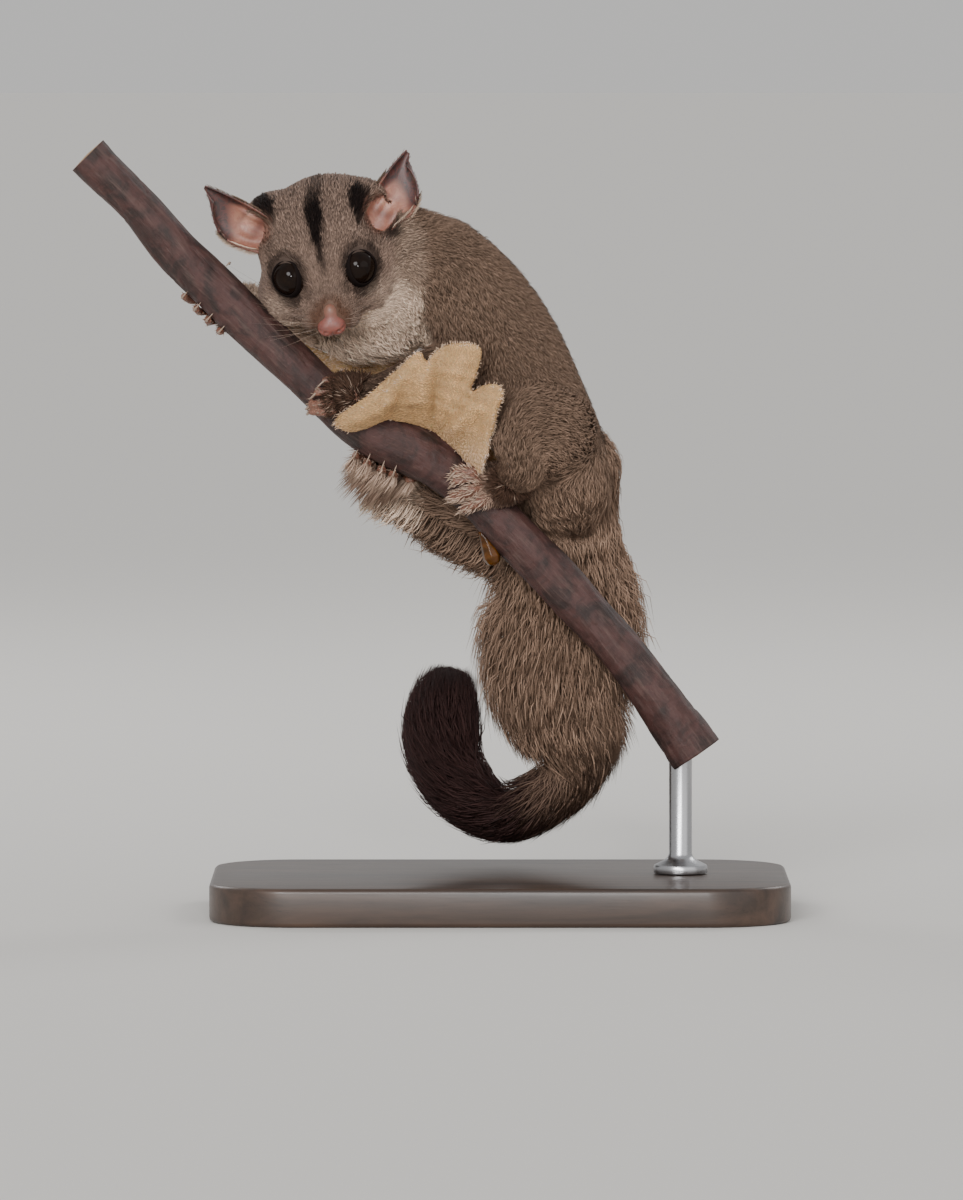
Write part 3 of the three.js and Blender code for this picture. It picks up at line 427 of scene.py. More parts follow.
def skin_distance(balls, points, blend):
    """Rough distance outside the smooth skin of several ovals run together."""
    total = np.zeros(len(points))
    for ball in balls:
        p = points - np.array(ball[:3])
        r = np.array(ball[3:])
        share = np.linalg.norm(p / r, axis=1)
        slope = np.linalg.norm(p / r**2, axis=1)
        away = np.where(slope > 1e-9, share * (share - 1) / np.maximum(slope, 1e-9), -min(ball[3:]))
        total += np.exp(-away / blend)
    return -blend * np.log(total)


def skin_points(balls, middle, ways, blend):
    """Where lines from the middle, going the ways given, leave the smooth skin of the ovals."""
    middle = np.asarray(middle, float)
    inside = np.zeros(len(ways))
    outside = np.full(len(ways), 80.0)
    for _ in range(24):
        reach = (inside + outside) / 2
        out = skin_distance(balls, middle + ways * reach[:, None], blend) > 0
        outside = np.where(out, reach, outside)
        inside = np.where(out, inside, reach)
    return middle + ways * inside[:, None]


def on_head_skin(points):
    """Places of the head, moved in or out to its skin."""
    ways = unit(np.asarray(points, float) - np.array(HEAD_CENTRE))
    return skin_points(HEAD_BALLS, HEAD_CENTRE, ways, HEAD_BLEND)


def headness(spots, near, far):
    """1 on the head's skin, and softly down to 0 between the two distances from it."""
    return 1 - smoothstep(near, far, skin_distance(HEAD_BALLS, to_head(spots), HEAD_BLEND))


def eye_frame(sign):
    """An eye's middle in the head, the way it looks, and the tall and wide ways of its opening."""
    gaze = unit(np.array([sign * GAZE[0], GAZE[1], GAZE[2]]))
    up = unit(np.array([0, 0, 1.0]) - gaze[2] * gaze)
    lean = math.radians(LID["lean"]) * sign
    tall = up * math.cos(lean) + np.cross(up, gaze) * math.sin(lean)
    return np.array([sign * EYE[0], EYE[1], EYE[2]]), gaze, tall, np.cross(tall, gaze)


# Meshes


def new_piece(name, points, faces):
    """A piece from points in mm and rows of faces; its object sits at the origin."""
    groups = [np.asarray(f, np.int32) for f in faces if len(f)]
    loops = np.concatenate([g.ravel() for g in groups])
    totals = np.concatenate([np.full(len(g), g.shape[1], np.int32) for g in groups])
    starts = np.concatenate([[0], np.cumsum(totals)[:-1]]).astype(np.int32)
    mesh = bpy.data.meshes.new(name)
    mesh.vertices.add(len(points))
    mesh.vertices.foreach_set("co", (np.asarray(points) * MM).astype(np.float32).ravel())
    mesh.loops.add(len(loops))
    mesh.loops.foreach_set("vertex_index", loops)
    mesh.polygons.add(len(totals))
    mesh.polygons.foreach_set("loop_start", starts)
    mesh.update(calc_edges=True)
    mesh.validate()
    mesh.shade_smooth()
    piece = bpy.data.objects.new(name, mesh)
    bpy.context.scene.collection.objects.link(piece)
    return piece


def added(name, primitive, **settings):
    """A new primitive, named and selected alone."""
    bpy.ops.object.select_all(action="DESELECT")
    primitive(**settings)
    piece = bpy.context.object
    piece.name = piece.data.name = name
    return piece


def joined(name, forms):
    """One piece from several closed forms, each given as points and rows of faces."""
    points, faces, total = [], [], 0
    for form_points, form_faces in forms:
        points.append(form_points)
        faces += [f + total for f in form_faces]
        total += len(form_points)
    return new_piece(name, np.vstack(points), faces)


def only(piece):
    """Leaves one piece selected, in object mode."""
    if bpy.context.object and bpy.context.object.mode != "OBJECT":
        bpy.ops.object.mode_set(mode="OBJECT")
    bpy.ops.object.select_all(action="DESELECT")
    piece.select_set(True)
    bpy.context.view_layer.objects.active = piece


def finished(piece, kind, **settings):
    """The piece with one modifier applied."""
    only(piece)
    modifier = piece.modifiers.new(kind.title(), kind)
    for key, value in settings.items():
        setattr(modifier, key, value)
    bpy.ops.object.modifier_apply(modifier=modifier.name)
    return piece


def read(items, key, width, kind=np.float32):
    """What Blender keeps under a key for each of its items, as rows."""
    out = np.empty(len(items) * width, kind)
    items.foreach_get(key, out)
    return out.reshape(-1, width)


def places(piece):
    """A piece's points in mm."""
    return read(piece.data.vertices, "co", 3).astype(float) / MM


def set_places(piece, points):
    piece.data.vertices.foreach_set("co", (points * MM).astype(np.float32).ravel())
    piece.data.update()


def directions(piece):
    """The surface's direction at each point."""
    return read(piece.data.vertex_normals, "vector", 3).astype(float)


def relaxed(points, edges, times, share=0.5):
    """Points eased towards their neighbours' middle; share may differ from point to point."""
    a, b = edges.T
    n = len(points)
    count = np.maximum(np.bincount(a, minlength=n) + np.bincount(b, minlength=n), 1)[:, None]
    share = np.asarray(share, float)
    share = share[:, None] if share.ndim else share
    for _ in range(times):
        sums = [np.bincount(a, points[b, k], n) + np.bincount(b, points[a, k], n) for k in range(3)]
        points = points + share * (np.stack(sums, 1) / count - points)
    return points


def cad_form(node):
    """A merged copy of a CAD node's shape, as points in mm and triangles."""
    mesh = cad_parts[node].data
    points = read(mesh.vertices, "co", 3).astype(float) / MM
    mesh.calc_loop_triangles()
    tris = read(mesh.loop_triangles, "vertices", 3, np.int32)
    _, index, back = np.unique(np.round(points, 3), axis=0, return_index=True, return_inverse=True)
    tris = back.ravel()[tris]
    tris = tris[(tris[:, 0] != tris[:, 1]) & (tris[:, 1] != tris[:, 2]) & (tris[:, 2] != tris[:, 0])]
    return points[index], tris


def swollen(points, tris, by):
    corner = points[tris]
    face = np.cross(corner[:, 1] - corner[:, 0], corner[:, 2] - corner[:, 0])
    normal = np.zeros_like(points)
    for k in range(3):
        np.add.at(normal, tris[:, k], face)
    return points + unit(normal) * by


def softened(name, node, grain, times, swell=0.0):
    """A CAD node's shape with its facets and creases softened away."""
    points, tris = cad_form(node)
    piece = new_piece(name, swollen(points, tris, swell), [tris])
    finished(piece, "REMESH", mode="VOXEL", voxel_size=grain * MM)
    edges = read(piece.data.edges, "vertices", 2, np.int32)
    set_places(piece, relaxed(places(piece), edges, times))
    piece.data.shade_smooth()
    return piece


def outward(piece):
    """Turns a piece's faces outwards."""
    only(piece)
    bpy.ops.object.mode_set(mode="EDIT")
    bpy.ops.mesh.select_all(action="SELECT")
    bpy.ops.mesh.normals_make_consistent(inside=False)
    bpy.ops.object.mode_set(mode="OBJECT")


def unwrapped(piece):
    """Unwraps the piece, on a map named OFBake."""
    only(piece)
    bpy.ops.object.mode_set(mode="EDIT")
    bpy.ops.mesh.select_all(action="SELECT")
    bpy.ops.uv.smart_project(angle_limit=1.3, island_margin=0.0)
    bpy.ops.object.mode_set(mode="OBJECT")
    piece.data.uv_layers[0].name = "OFBake"


def paint_points(piece, shades):
    """Keeps a colour for each point, which the piece's material reads."""
    layer = piece.data.color_attributes.new("coat", "FLOAT_COLOR", "POINT")
    rows = np.column_stack([shades, np.ones(len(shades))])
    layer.data.foreach_set("color", rows.astype(np.float32).ravel())


def triangles_of(piece):
    """A piece's triangles: their corners' places, directions and unwrapped places."""
    mesh = piece.data
    mesh.calc_loop_triangles()
    verts, loops = (read(mesh.loop_triangles, key, 3, np.int32) for key in ("vertices", "loops"))
    uv = read(mesh.uv_layers["OFBake"].data, "uv", 2)
    return verts, places(piece)[verts], directions(piece)[verts], uv[loops]


def nearest_on(piece, spots):
    """The nearest place on a piece to each spot, and the piece's direction there."""
    corners = [tuple(point) for point in places(piece)]
    tree = BVHTree.FromPolygons(corners, [tuple(face) for face in triangles_of(piece)[0]])
    found = [tree.find_nearest(Vector(spot)) for spot in spots]
    return np.array([place for place, *_ in found]), np.array([way for _, way, *_ in found])


# Shader maths


class Socket:
    """A value in a node tree; plain arithmetic on it adds Math nodes."""

    def __init__(self, tree, link):
        self.tree = tree
        self.link = link

    def math(self, operation, *values, clamp=False):
        settings = {"operation": operation, "use_clamp": clamp}
        return self.tree.node("ShaderNodeMath", settings, dict(enumerate(values)))[0]

    def __add__(self, other):
        return self.math("ADD", self, other)

    def __sub__(self, other):
        return self.math("SUBTRACT", self, other)

    def __mul__(self, other):
        return self.math("MULTIPLY", self, other)

    def __truediv__(self, other):
        return self.math("DIVIDE", self, other)

    def __rsub__(self, other):
        return self.math("SUBTRACT", other, self)

    def __rtruediv__(self, other):
        return self.math("DIVIDE", other, self)

    __radd__ = __add__
    __rmul__ = __mul__

    def between(self, low, high):
        """0 below low, 1 above high, and even in between."""
        return self.math("MULTIPLY", self - low, 1 / (high - low), clamp=True)


class Outputs:
    """A node's outputs, by name or number."""

    def __init__(self, tree, node):
        self.tree = tree
        self.node = node

    def __getitem__(self, key):
        return Socket(self.tree, self.node.outputs[key])


def socket_name(key):
    """A shader socket's name, from its name as a Python argument."""
    return key.replace("_", " ").title().replace("Ior", "IOR")


class Finish:
    """A material built from nodes."""

    def __init__(self, name, **shader):
        self.material = bpy.data.materials.new(name)
        self.material.use_nodes = True
        self.nodes = self.material.node_tree.nodes
        self.links = self.material.node_tree.links
        self.nodes.clear()
        values = {socket_name(key): value for key, value in shader.items()}
        self.shader = self.node("ShaderNodeBsdfPrincipled", {}, values)
        self.node("ShaderNodeOutputMaterial", {}, {"Surface": self.shader["BSDF"]})

    def node(self, kind, settings=None, values=None):
        node = self.nodes.new(kind)
        for key, value in (settings or {}).items():
            setattr(node, key, value)
        for key, value in (values or {}).items():
            socket = node.inputs[key]
            if isinstance(value, Socket):
                self.links.new(value.link, socket)
            elif hasattr(value, "__len__") and len(value) == 3 and len(socket.default_value) == 4:
                socket.default_value = (*value, 1)
            else:
                socket.default_value = value
        return Outputs(self, node)

    def feed(self, **values):
        for key, value in values.items():
            self.links.new(value.link, self.shader.node.inputs[socket_name(key)])

    def place(self, scale=(1, 1, 1)):
        """The object's own coordinates, in mm, stretched."""
        coords = self.node("ShaderNodeTexCoord")["Object"]
        return self.stretched(coords, tuple(1 / MM * s for s in scale))

    def stretched(self, place, scale):
        return self.node("ShaderNodeMapping", {}, {"Vector": place, "Scale": scale})["Vector"]

    def grain(self, place, scale, detail=4.0, rough=0.55, distortion=0.0):
        values = {"Vector": place, "Scale": scale, "Detail": detail, "Roughness": rough}
        values["Distortion"] = distortion
        return self.node("ShaderNodeTexNoise", {}, values)["Fac"]

    def mix(self, share, a, b):
        return self.node("ShaderNodeMix", {"data_type": "RGBA"}, {0: share, 6: a, 7: b})[2]

    def bump(self, height, strength, distance):
        values = {"Height": height, "Strength": strength, "Distance": distance * MM}
        self.feed(normal=self.node("ShaderNodeBump", {}, values)["Normal"])

    def attribute(self, name, output):
        return self.node("ShaderNodeAttribute", {"attribute_name": name})[output]

    def painted(self):
        """The colours that paint_points keeps."""
        return self.attribute("coat", "Color")


def toned(shade, by):
    """A setting's colour made darker or lighter."""
    return tuple(c * by for c in shade)


# The coat's markings


def noise_field(points, size, seed=0):
    """Soft noise from -1 to 1 at each place, with patches of about the size given."""
    rng = np.random.default_rng(seed)
    total = np.zeros(len(points))
    for _ in range(7):
        direction = unit(rng.normal(size=3))
        phase = rng.uniform(0, 6.28)
        total += np.sin((points @ direction) * (2 * np.pi / size) * rng.uniform(0.7, 1.5) + phase)
    return total / 3.2


def outside_polygon(points, corners):
    """Signed distance from a closed outline, less than 0 inside it."""
    corners = np.asarray(corners, float)
    nearest = np.full(len(points), 1e9)
    inside = np.zeros(len(points), bool)
    for a, b in zip(corners, np.roll(corners, -1, 0)):
        edge = b - a
        t = np.clip(((points - a) @ edge) / (edge @ edge), 0, 1)
        nearest = np.minimum(nearest, np.linalg.norm(points - a - t[:, None] * edge, axis=1))
        crosses = (a[1] > points[:, 1]) != (b[1] > points[:, 1])
        drop = b[1] - a[1] if b[1] != a[1] else 1e-9
        x = a[0] + (points[:, 1] - a[1]) * (b[0] - a[0]) / drop
        inside ^= crosses & (points[:, 0] < x)
    return np.where(inside, -nearest, nearest)


# The pale throat's outline as seen from the front: x and z.
BIB = [
    (-51.2, 149.4), (-46.3, 148.2), (-40.3, 148.5), (-35.2, 153.7),
    (-29.9, 158.9), (-28.1, 163.3), (-25.6, 165.4), (-21, 162.6),
    (-19.9, 159.5), (-20.8, 156), (-23.1, 150.3), (-28.6, 145.6),
    (-33.3, 141.2), (-38, 140.9), (-45.5, 144.8), (-51.2, 147),
]
# The line along its upper edge, along which painted shade lies under the face's lower rim, and the paler
# strip that goes up from it behind the cheek.
FACE_RIM_SHADE = [
    (-28.4, 163.3), (-29.9, 158.9), (-35.2, 153.7), (-40.3, 148.5),
    (-46.3, 148.2), (-52, 150), (-60, 154),
]
PALE_STRIP = [
    (-29, 163), (-27.5, 170), (-27.5, 178), (-24, 179.5),
    (-20.5, 176), (-19.6, 168), (-20, 162),
]
# The stripe over the crown, by how far front: the side its middle lies to, its half width, its strength.
STRIPE_SIDE = ([-20, -9, -2, 4, 8, 12.5, 16], [0.5, 1.0, -0.4, -0.4, -0.5, 0.1, 0.2])
STRIPE_HALF = ([-20, -9, -2, 4, 8, 11, 15], [1.6, 1.5, 2.1, 2.1, 1.3, 0.8, 0.4])
STRIPE_DARK = ([-20, -10, -5, -1, 8, 12, 15.5], [0.5, 0.5, 0.75, 1, 1, 0.85, 0])
# Oval spots of the head: middle and half sizes, by side, front and up.
EAR_BASES = {1: ((11.5, -3.4, 13.8), (3.1, 5.4, 4.2)), -1: ((-13, -3.4, 13.6), (3.3, 5.6, 4))}
BEHIND_EAR = ((18.2, -1.4, 4.2), (2.4, 4.6, 4.2))
UNDER_EYE = ((8.6, 12.6, -1.6), (4.4, 3.2, 2.9))
INNER_CORNER = ((4.6, 15.2, 0.4), (1.6, 2.6, 2.2))
TOWARD_EAR = ((13.4, 3.4, 7.4), (1.6, 5, 2.4))
CHEEK = ((12.2, 9.5, -5.2), (4.5, 5.5, 4))
MUZZLE = ((0, 21.5, -3.6), (4.6, 5.6, 4.6))
# The dark mark along each ear's front edge: x and z of its middle, its reach across and up, its lean.
EAR_MARKS = {1: (-36.9, 183.2, 1.7, 5.6, 0.12), -1: (-61.8, 184.6, 2.6, 4.2, 0.9)}
EAR_CUP = tint("8a6557")
# The middle of the left foot's brown band, and the shares of the tail between which it turns dark.
FOOT_BAND = (1, -12, 113.5)
TAIL_DARKENS = (0.46, 0.67)


def oval(head, sign, spot):
    """How far from the middle of an oval spot of the head, on one side: 1 is at its edge."""
    (side, front, up), reach = spot
    return np.linalg.norm((head - [sign * side, front, up]) / np.array(reach), axis=1)


def ear_hollow(points, sign):
    """How far from the middle of the hollow before an ear: 1 is at its edge."""
    x, z, across, high, _ = EAR_HOLLOWS[sign]
    gap = np.hypot((points[:, 0] - x) / across, (points[:, 2] - z) / high)
    return np.where(points[:, 1] < 9, gap, 9)


def curve_gap(points, line):
    """Distance in the flat from a bent line."""
    dense = curve([(*q, 0) for q in line], np.linspace(0, 1, 60))[:, :2]
    return np.linalg.norm(points[:, None] - dense[None], axis=2).min(1)


def mixed(base, share, other):
    return base + np.clip(share, 0, 1)[:, None] * (np.asarray(other) - base)


class Sites:
    """Places on the skin in mm, and what tells their markings: where they lie on head, body and
    tail, and two soft noises. tail is 0 on the body, and the share of the tail's length on it."""

    def __init__(self, points, tail):
        self.points = points
        self.tail = tail
        self.flat = points[:, [0, 2]]
        self.head = to_head(points)
        self.on_head = headness(points, 1.5, 5)
        self.body = (1 - self.on_head) * (tail <= 0)
        self.soft = noise_field(points, 7, 3)
        self.fine = noise_field(points, 2.4, 4)
        self.seen = smoothstep(14, 9, points[:, 1])
        spine = np.asarray(TORSO)[:, :3]
        down = spine[-1] - spine[0]
        line = curve(spine, np.linspace(0, 1, 12))
        gap = np.linalg.norm(points[:, None] - line[None], axis=2)
        self.from_spine = gap.min(1)
        # How low on the trunk: -1 on the back, 1 on the belly
        self.low = ((points - line[gap.argmin(1)]) @ unit(np.array([down[2], 0, -down[0]]))) / TORSO[0][3]


def throat_marks(shade, at, settings):
    """The pale throat, chest and belly, with painted shade along the face's lower rim above them."""
    x, y, z = at.points.T
    strip = smoothstep(1.6, -1.6, outside_polygon(at.flat, PALE_STRIP) + 0.6 * at.fine) * at.seen
    shade = mixed(shade, 0.3 * strip, settings.throat)
    bib = smoothstep(0.9, -0.9, outside_polygon(at.flat, BIB) + 0.6 * at.fine) * at.seen
    chest = smoothstep(157, 151, z + at.soft) * band(x, -62, -54, -21, -17)
    chest = chest * (1 - at.on_head) * smoothstep(19, 14, y)
    shade = mixed(shade, np.maximum(bib, chest), settings.throat)
    # Painted shade along the face's lower rim, where the cheek turns under over the throat
    edge = hump(curve_gap(at.flat, FACE_RIM_SHADE), 0.3, 0.9) * at.on_head * (1 - bib) * at.seen
    shade = shade * (1 - 0.35 * edge)[:, None]
    belly = smoothstep(0.62, 0.85, at.low + 0.06 * at.soft) * smoothstep(21, 18, at.from_spine)
    return mixed(shade, at.body * belly, settings.throat)


def back_marks(shade, at, settings):
    """The dark stripe over the crown and down the back."""
    side, front, up = at.head.T
    gap = np.abs(side - np.interp(front, *STRIPE_SIDE)) - np.interp(front, *STRIPE_HALF)
    crown = smoothstep(1.0, -0.6, gap + 0.35 * at.fine) * np.interp(front, *STRIPE_DARK)
    crown = crown * smoothstep(2, 6, up) * at.on_head
    gap = np.abs(at.points[:, 1] - 7.5) - 2.4
    back = smoothstep(1.5, -1.5, gap + 0.6 * at.soft) * smoothstep(0.4, 0.8, -at.low) * at.body
    return mixed(shade, np.maximum(crown, 0.75 * back), settings.stripe)


def face_marks(shade, at, settings):
    """The dark ear bases, the rings round the eyes, the cheeks and the ears' front edges."""
    for sign in SIDES.values():
        eye, gaze, *_ = eye_frame(sign)
        depth = (at.head - eye) @ gaze
        ring = np.linalg.norm(at.head - eye - depth[:, None] * gaze, axis=1)
        under = 0.95 * smoothstep(1.3, 0.7, oval(at.head, sign, UNDER_EYE))
        round_eye = np.maximum(smoothstep(7.2, 4.8, ring + 0.3 * at.fine), under) * (depth > -2)
        x, z, across, high, lean = EAR_MARKS[sign]
        cos, sin = math.cos(lean), math.sin(lean)
        flow = (at.flat - [x, z]) @ [[cos, -sin], [sin, cos]]
        mark = np.hypot(flow[:, 0] / across, flow[:, 1] / high)
        base = oval(at.head, 1, EAR_BASES[sign])
        behind = oval(at.head, sign, BEHIND_EAR)
        inner = oval(at.head, sign, INNER_CORNER)
        outer = oval(at.head, sign, TOWARD_EAR)
        cheek = oval(at.head, sign, CHEEK)
        cup = ear_hollow(at.points, sign)
        for share, other in (
            (smoothstep(1.25, 0.7, base + 0.12 * at.fine) * 0.95, settings.stripe),
            (smoothstep(1.3, 0.7, behind + 0.1 * at.fine) * 0.85, settings.stripe),
            (round_eye * 0.8 * at.on_head, settings.stripe),
            (smoothstep(1.3, 0.5, inner) * 0.35, settings.stripe),
            (smoothstep(1.3, 0.5, outer) * 0.25, settings.stripe),
            (smoothstep(1.3, 0.4, cheek) * 0.3 * (ring > 5.4), settings.throat),
            (smoothstep(1.25, 0.75, mark + 0.1 * at.fine) * 0.92 * at.seen, settings.stripe),
            (smoothstep(1.15, 0.8, cup + 0.1 * at.fine) * 0.85, EAR_CUP),
        ):
            shade = mixed(shade, share, other)
    return shade


def muzzle_marks(shade, at, settings):
    """The brown muzzle and the pale chin."""
    _, front, up = at.head.T
    muzzle = smoothstep(1.5, 0.75, oval(at.head, 1, MUZZLE) + 0.1 * at.fine)
    shade = mixed(shade, muzzle * 0.85, settings.muzzle)
    chin = smoothstep(-7.6, -9.2, up + 0.3 * at.fine) * smoothstep(3, 9, front) * at.on_head
    return mixed(shade, chin, settings.throat)


def limb_marks(shade, at, settings):
    """The brown arms, the right arm's pale underside below the chin, and the left foot's band."""
    for name in ("arm_left", "arm_right"):
        line = curve(np.asarray(GUIDES[name])[2:, :3], np.linspace(0, 1, 14))
        gap = np.linalg.norm(at.points[:, None] - line[None], axis=2)
        brown = smoothstep(10.5, 8, gap.min(1) + 0.5 * at.soft) * smoothstep(1, 6, gap.argmin(1))
        shade = mixed(shade, brown * 0.92, settings.arm)
    x, y, z = at.points.T
    under = band(x, -60, -56, -45, -42) * band(y, 12, 15, 22, 25)
    under = under * smoothstep(155, 151.5, z + 0.5 * at.fine) * (1 - at.on_head)
    shade = mixed(shade, under, settings.throat)
    foot = np.linalg.norm(at.points - FOOT_BAND, axis=1)
    return mixed(shade, smoothstep(10, 5, foot + 0.8 * at.soft) * 0.75, settings.arm)


def tail_marks(shade, at, settings):
    """The pale brown rump and tail, and the tail's dark end."""
    rump = smoothstep(126, 108, at.points[:, 2]) * (at.points[:, 0] > -8) * (at.tail <= 0)
    shade = mixed(shade, rump * 0.7, settings.tail)
    on_tail = (at.tail > 0).astype(float)
    shade = mixed(shade, on_tail, settings.tail)
    end = smoothstep(*TAIL_DARKENS, at.tail + 0.03 * at.soft)
    return mixed(shade, on_tail * end, settings.tail_end)


def coat_colour(points, settings, tail):
    """The coat's colour at each place of the skin."""
    at = Sites(points, tail)
    shade = np.broadcast_to(np.array(settings.back), (len(points), 3))
    shade = mixed(shade, at.on_head, settings.face)
    for marks in (throat_marks, back_marks, face_marks, muzzle_marks, limb_marks, tail_marks):
        shade = marks(shade, at, settings)
    return shade * (1 + 0.05 * at.soft + 0.04 * at.fine)[:, None]


# The lie of the coat

# Hair length along the tail, by the share of its length
TAIL_HAIR = ([0, 0.15, 0.9, 1], [11, 16, 15, 10])
# The head's coat by how far front it is: hair length and depth
FRONTS = [-18, -8, 4, 12, 18, 23]
HEAD_HAIR = [4.4, 3.6, 2.8, 2.1, 1.4, 0.9]
HEAD_DEPTH = [1.1, 0.8, 0.55, 0.4, 0.25, 0.12]
# Where the head's coat runs from, and the way that the right leg's fringe hangs
COAT_START = (0, 23, -5)
FRINGE_WAY = unit(np.array([-0.62, -0.08, -0.78]))
# A tuft's two rings of three corners: how far along it, and how broad. Its tip is the seventh corner.
TUFT_RINGS = ((0, 0.9), (0.5, 0.95))
TUFT_TRIANGLES = 10
MOST_TRIANGLES = 190000


def guide_table():
    """Every place on the guide lines: where, which way, reach, hair length, depth and tail share."""
    rows = []
    for stations in GUIDES.values():
        table = np.asarray(stations, float)
        t = np.linspace(0, 1, 6 * len(table))
        points = curve(table[:, :3], t)
        rest = [np.interp(t, np.linspace(0, 1, len(table)), table[:, k]) for k in (3, 4, 5)]
        rows.append(np.column_stack([points, tangents(points), *rest, np.zeros(len(t))]))
    table = np.asarray(TAIL, float)
    t = np.linspace(0, 1, 70)
    points = curve(table[:, :3], t)
    sizes = curve(table[:, 3:5], t, even=True).mean(1)
    run = run_along(points)
    share = np.maximum(run / run[-1], 1e-3)
    loft = np.interp(share, *TAIL_LOFT) * (sizes - TAIL_FLESH) / 2
    hair = np.interp(share, *TAIL_HAIR)
    rows.append(np.column_stack([points, tangents(points), sizes - loft, hair, np.maximum(loft, 1.6), share]))
    return np.vstack(rows)


def tail_stations():
    """The tail's stations, and each one's share of its length."""
    table = np.asarray(TAIL, float)
    run = run_along(table[:, :3])
    return table, run / run[-1]


def from_guides(points):
    """The way, hair length and depth of the coat by the nearest guides, and the tail's share."""
    guides = guide_table()
    n = len(points)
    way = np.zeros((n, 3))
    hair, depth, tail = np.zeros((3, n))
    step = 20000
    for start in range(0, n, step):
        part = slice(start, start + step)
        gap = np.linalg.norm(points[part, None] - guides[None, :, :3], axis=2)
        key = gap / guides[:, 6]
        weight = np.exp(-9 * (key - key.min(1, keepdims=True)))
        weight /= weight.sum(1, keepdims=True)
        way[part] = weight @ guides[:, 3:6]
        hair[part] = weight @ guides[:, 7]
        depth[part] = weight @ guides[:, 8]
        tail[part] = guides[key.argmin(1), 9]
    return way, hair, depth, tail


def turned(ways, toward, share):
    """Ways turned towards others, each by its share."""
    return ways * (1 - share)[:, None] + toward * share[:, None]


def lie_of(points, normals):
    """Which way the coat lies at each place, its hair length and depth, and the tail's share."""
    way, hair, depth, tail = from_guides(points)
    on_tail = tail > 0
    # The tail is wider than it is deep, and its hair stands out as much more.
    table, share = tail_stations()
    sizes = np.stack([np.interp(tail, share, table[:, k]) for k in (3, 4)], 1) - TAIL_FLESH
    facing = normals[:, 1] ** 2
    fuller = (sizes[:, 0] * facing + sizes[:, 1] * (1 - facing)) / sizes.mean(1)
    depth = np.where(on_tail, 1.12 * depth * fuller, np.minimum(depth, 3.4))
    # The head's coat runs back from the nose.
    head = to_head(points)
    on_head = headness(points, 1.5, 6)
    way = turned(unit(way), unit((head - COAT_START) @ HEAD_TURN.T), on_head)
    hair = hair * (1 - on_head) + on_head * np.interp(head[:, 1], FRONTS, HEAD_HAIR)
    depth = depth * (1 - on_head) + on_head * np.interp(head[:, 1], FRONTS, HEAD_DEPTH)
    # The throat's long hair hangs below the chin.
    x, y, z = points.T
    throat = smoothstep(153, 149, z) * band(x, -55, -49, -28, -22)
    throat = throat * smoothstep(19, 14, y) * smoothstep(-0.1, -0.6, normals[:, 2])
    depth = depth + 2.6 * throat
    hair = np.maximum(hair, 6.5 * throat)
    # The right leg's underside carries a hanging fringe, and the rest of the leg a shorter coat.
    line = curve(np.asarray(SHANK_RIGHT)[:, :3], np.linspace(0, 1, 30))
    leg = smoothstep(11, 8.5, np.linalg.norm(points[:, None] - line[None], axis=2).min(1))
    fringe = leg * smoothstep(-0.2, 0.5, normals @ unit(np.array([-0.4, 0, -0.9]))) * ~on_tail
    leg = leg * (1 - fringe) * ~on_tail
    way = turned(way, FRINGE_WAY, fringe)
    hair = hair * (1 - 0.55 * leg)
    depth = depth + 3.6 * fringe
    depth = np.where(leg > 0.1, np.minimum(depth, 1.6), depth)
    return laid(way, normals), hair, depth, tail


def tufts(name, roots, normals, ways, tips, rises, depth, width, shade, uv, shade_levels=(0.78, 0.94, 1.1)):
    """One joined mesh of tapered three-sided tufts. Each bends up from its root and lies along, to
    its tip's depth over the place given, and gets lighter from root to tip by the given factors:
    the darker root is painted shade deep in the coat."""
    long = np.linalg.norm(tips - roots, axis=1)
    start = roots - normals * 0.25
    end = tips + rises * depth[:, None]
    knee = roots + ways * (long * 0.4)[:, None] + normals * (depth * 1.15)[:, None]
    rows = []
    for s, broad in TUFT_RINGS:
        spot = (1 - s) ** 2 * start + 2 * s * (1 - s) * knee + s * s * end
        along = unit(2 * (1 - s) * (knee - start) + 2 * s * (end - knee))
        side = unit(np.cross(along, normals))
        w = (width * broad / 2)[:, None]
        rows += [spot - side * w, spot + side * w, spot + np.cross(side, along) * w * 0.7]
    rows.append(end)
    quads = np.array([(k, (k + 1) % 3, 3 + (k + 1) % 3, 3 + k) for k in range(3)])
    tris = np.array([(3 + k, 3 + (k + 1) % 3, 6) for k in range(3)] + [(0, 2, 1)])
    first = (np.arange(len(roots)) * len(rows))[:, None, None]
    faces = [(first + quads).reshape(-1, 4), (first + tris).reshape(-1, 3)]
    piece = new_piece(name, np.stack(rows, 1).reshape(-1, 3), faces)
    # Painted shade: each tuft is darker at its root, deep in the coat, and lighter towards its tip
    steps = np.repeat(shade_levels, [3, 3, 1])
    paint_points(piece, np.clip(shade[:, None] * steps[None, :, None], 0.002, 0.95).reshape(-1, 3))
    # Each tuft's own small patch, at its root's place on the skin's unwrap
    patch = np.array([(-1, 0), (0, 0), (1, 0), (-1, 1), (0, 1), (1, 1), (0, 2)])
    patch = (patch / [1, 2] - [0, 0.5]) * [0.0015, 0.003]
    corner = read(piece.data.loops, "vertex_index", 1, np.int32).ravel()
    spots = (uv[:, None] + patch[None]).reshape(-1, 2)
    layer = piece.data.uv_layers.new(name="OFBake")
    layer.data.foreach_set("uv", spots[corner].astype(np.float32).ravel())
    return piece


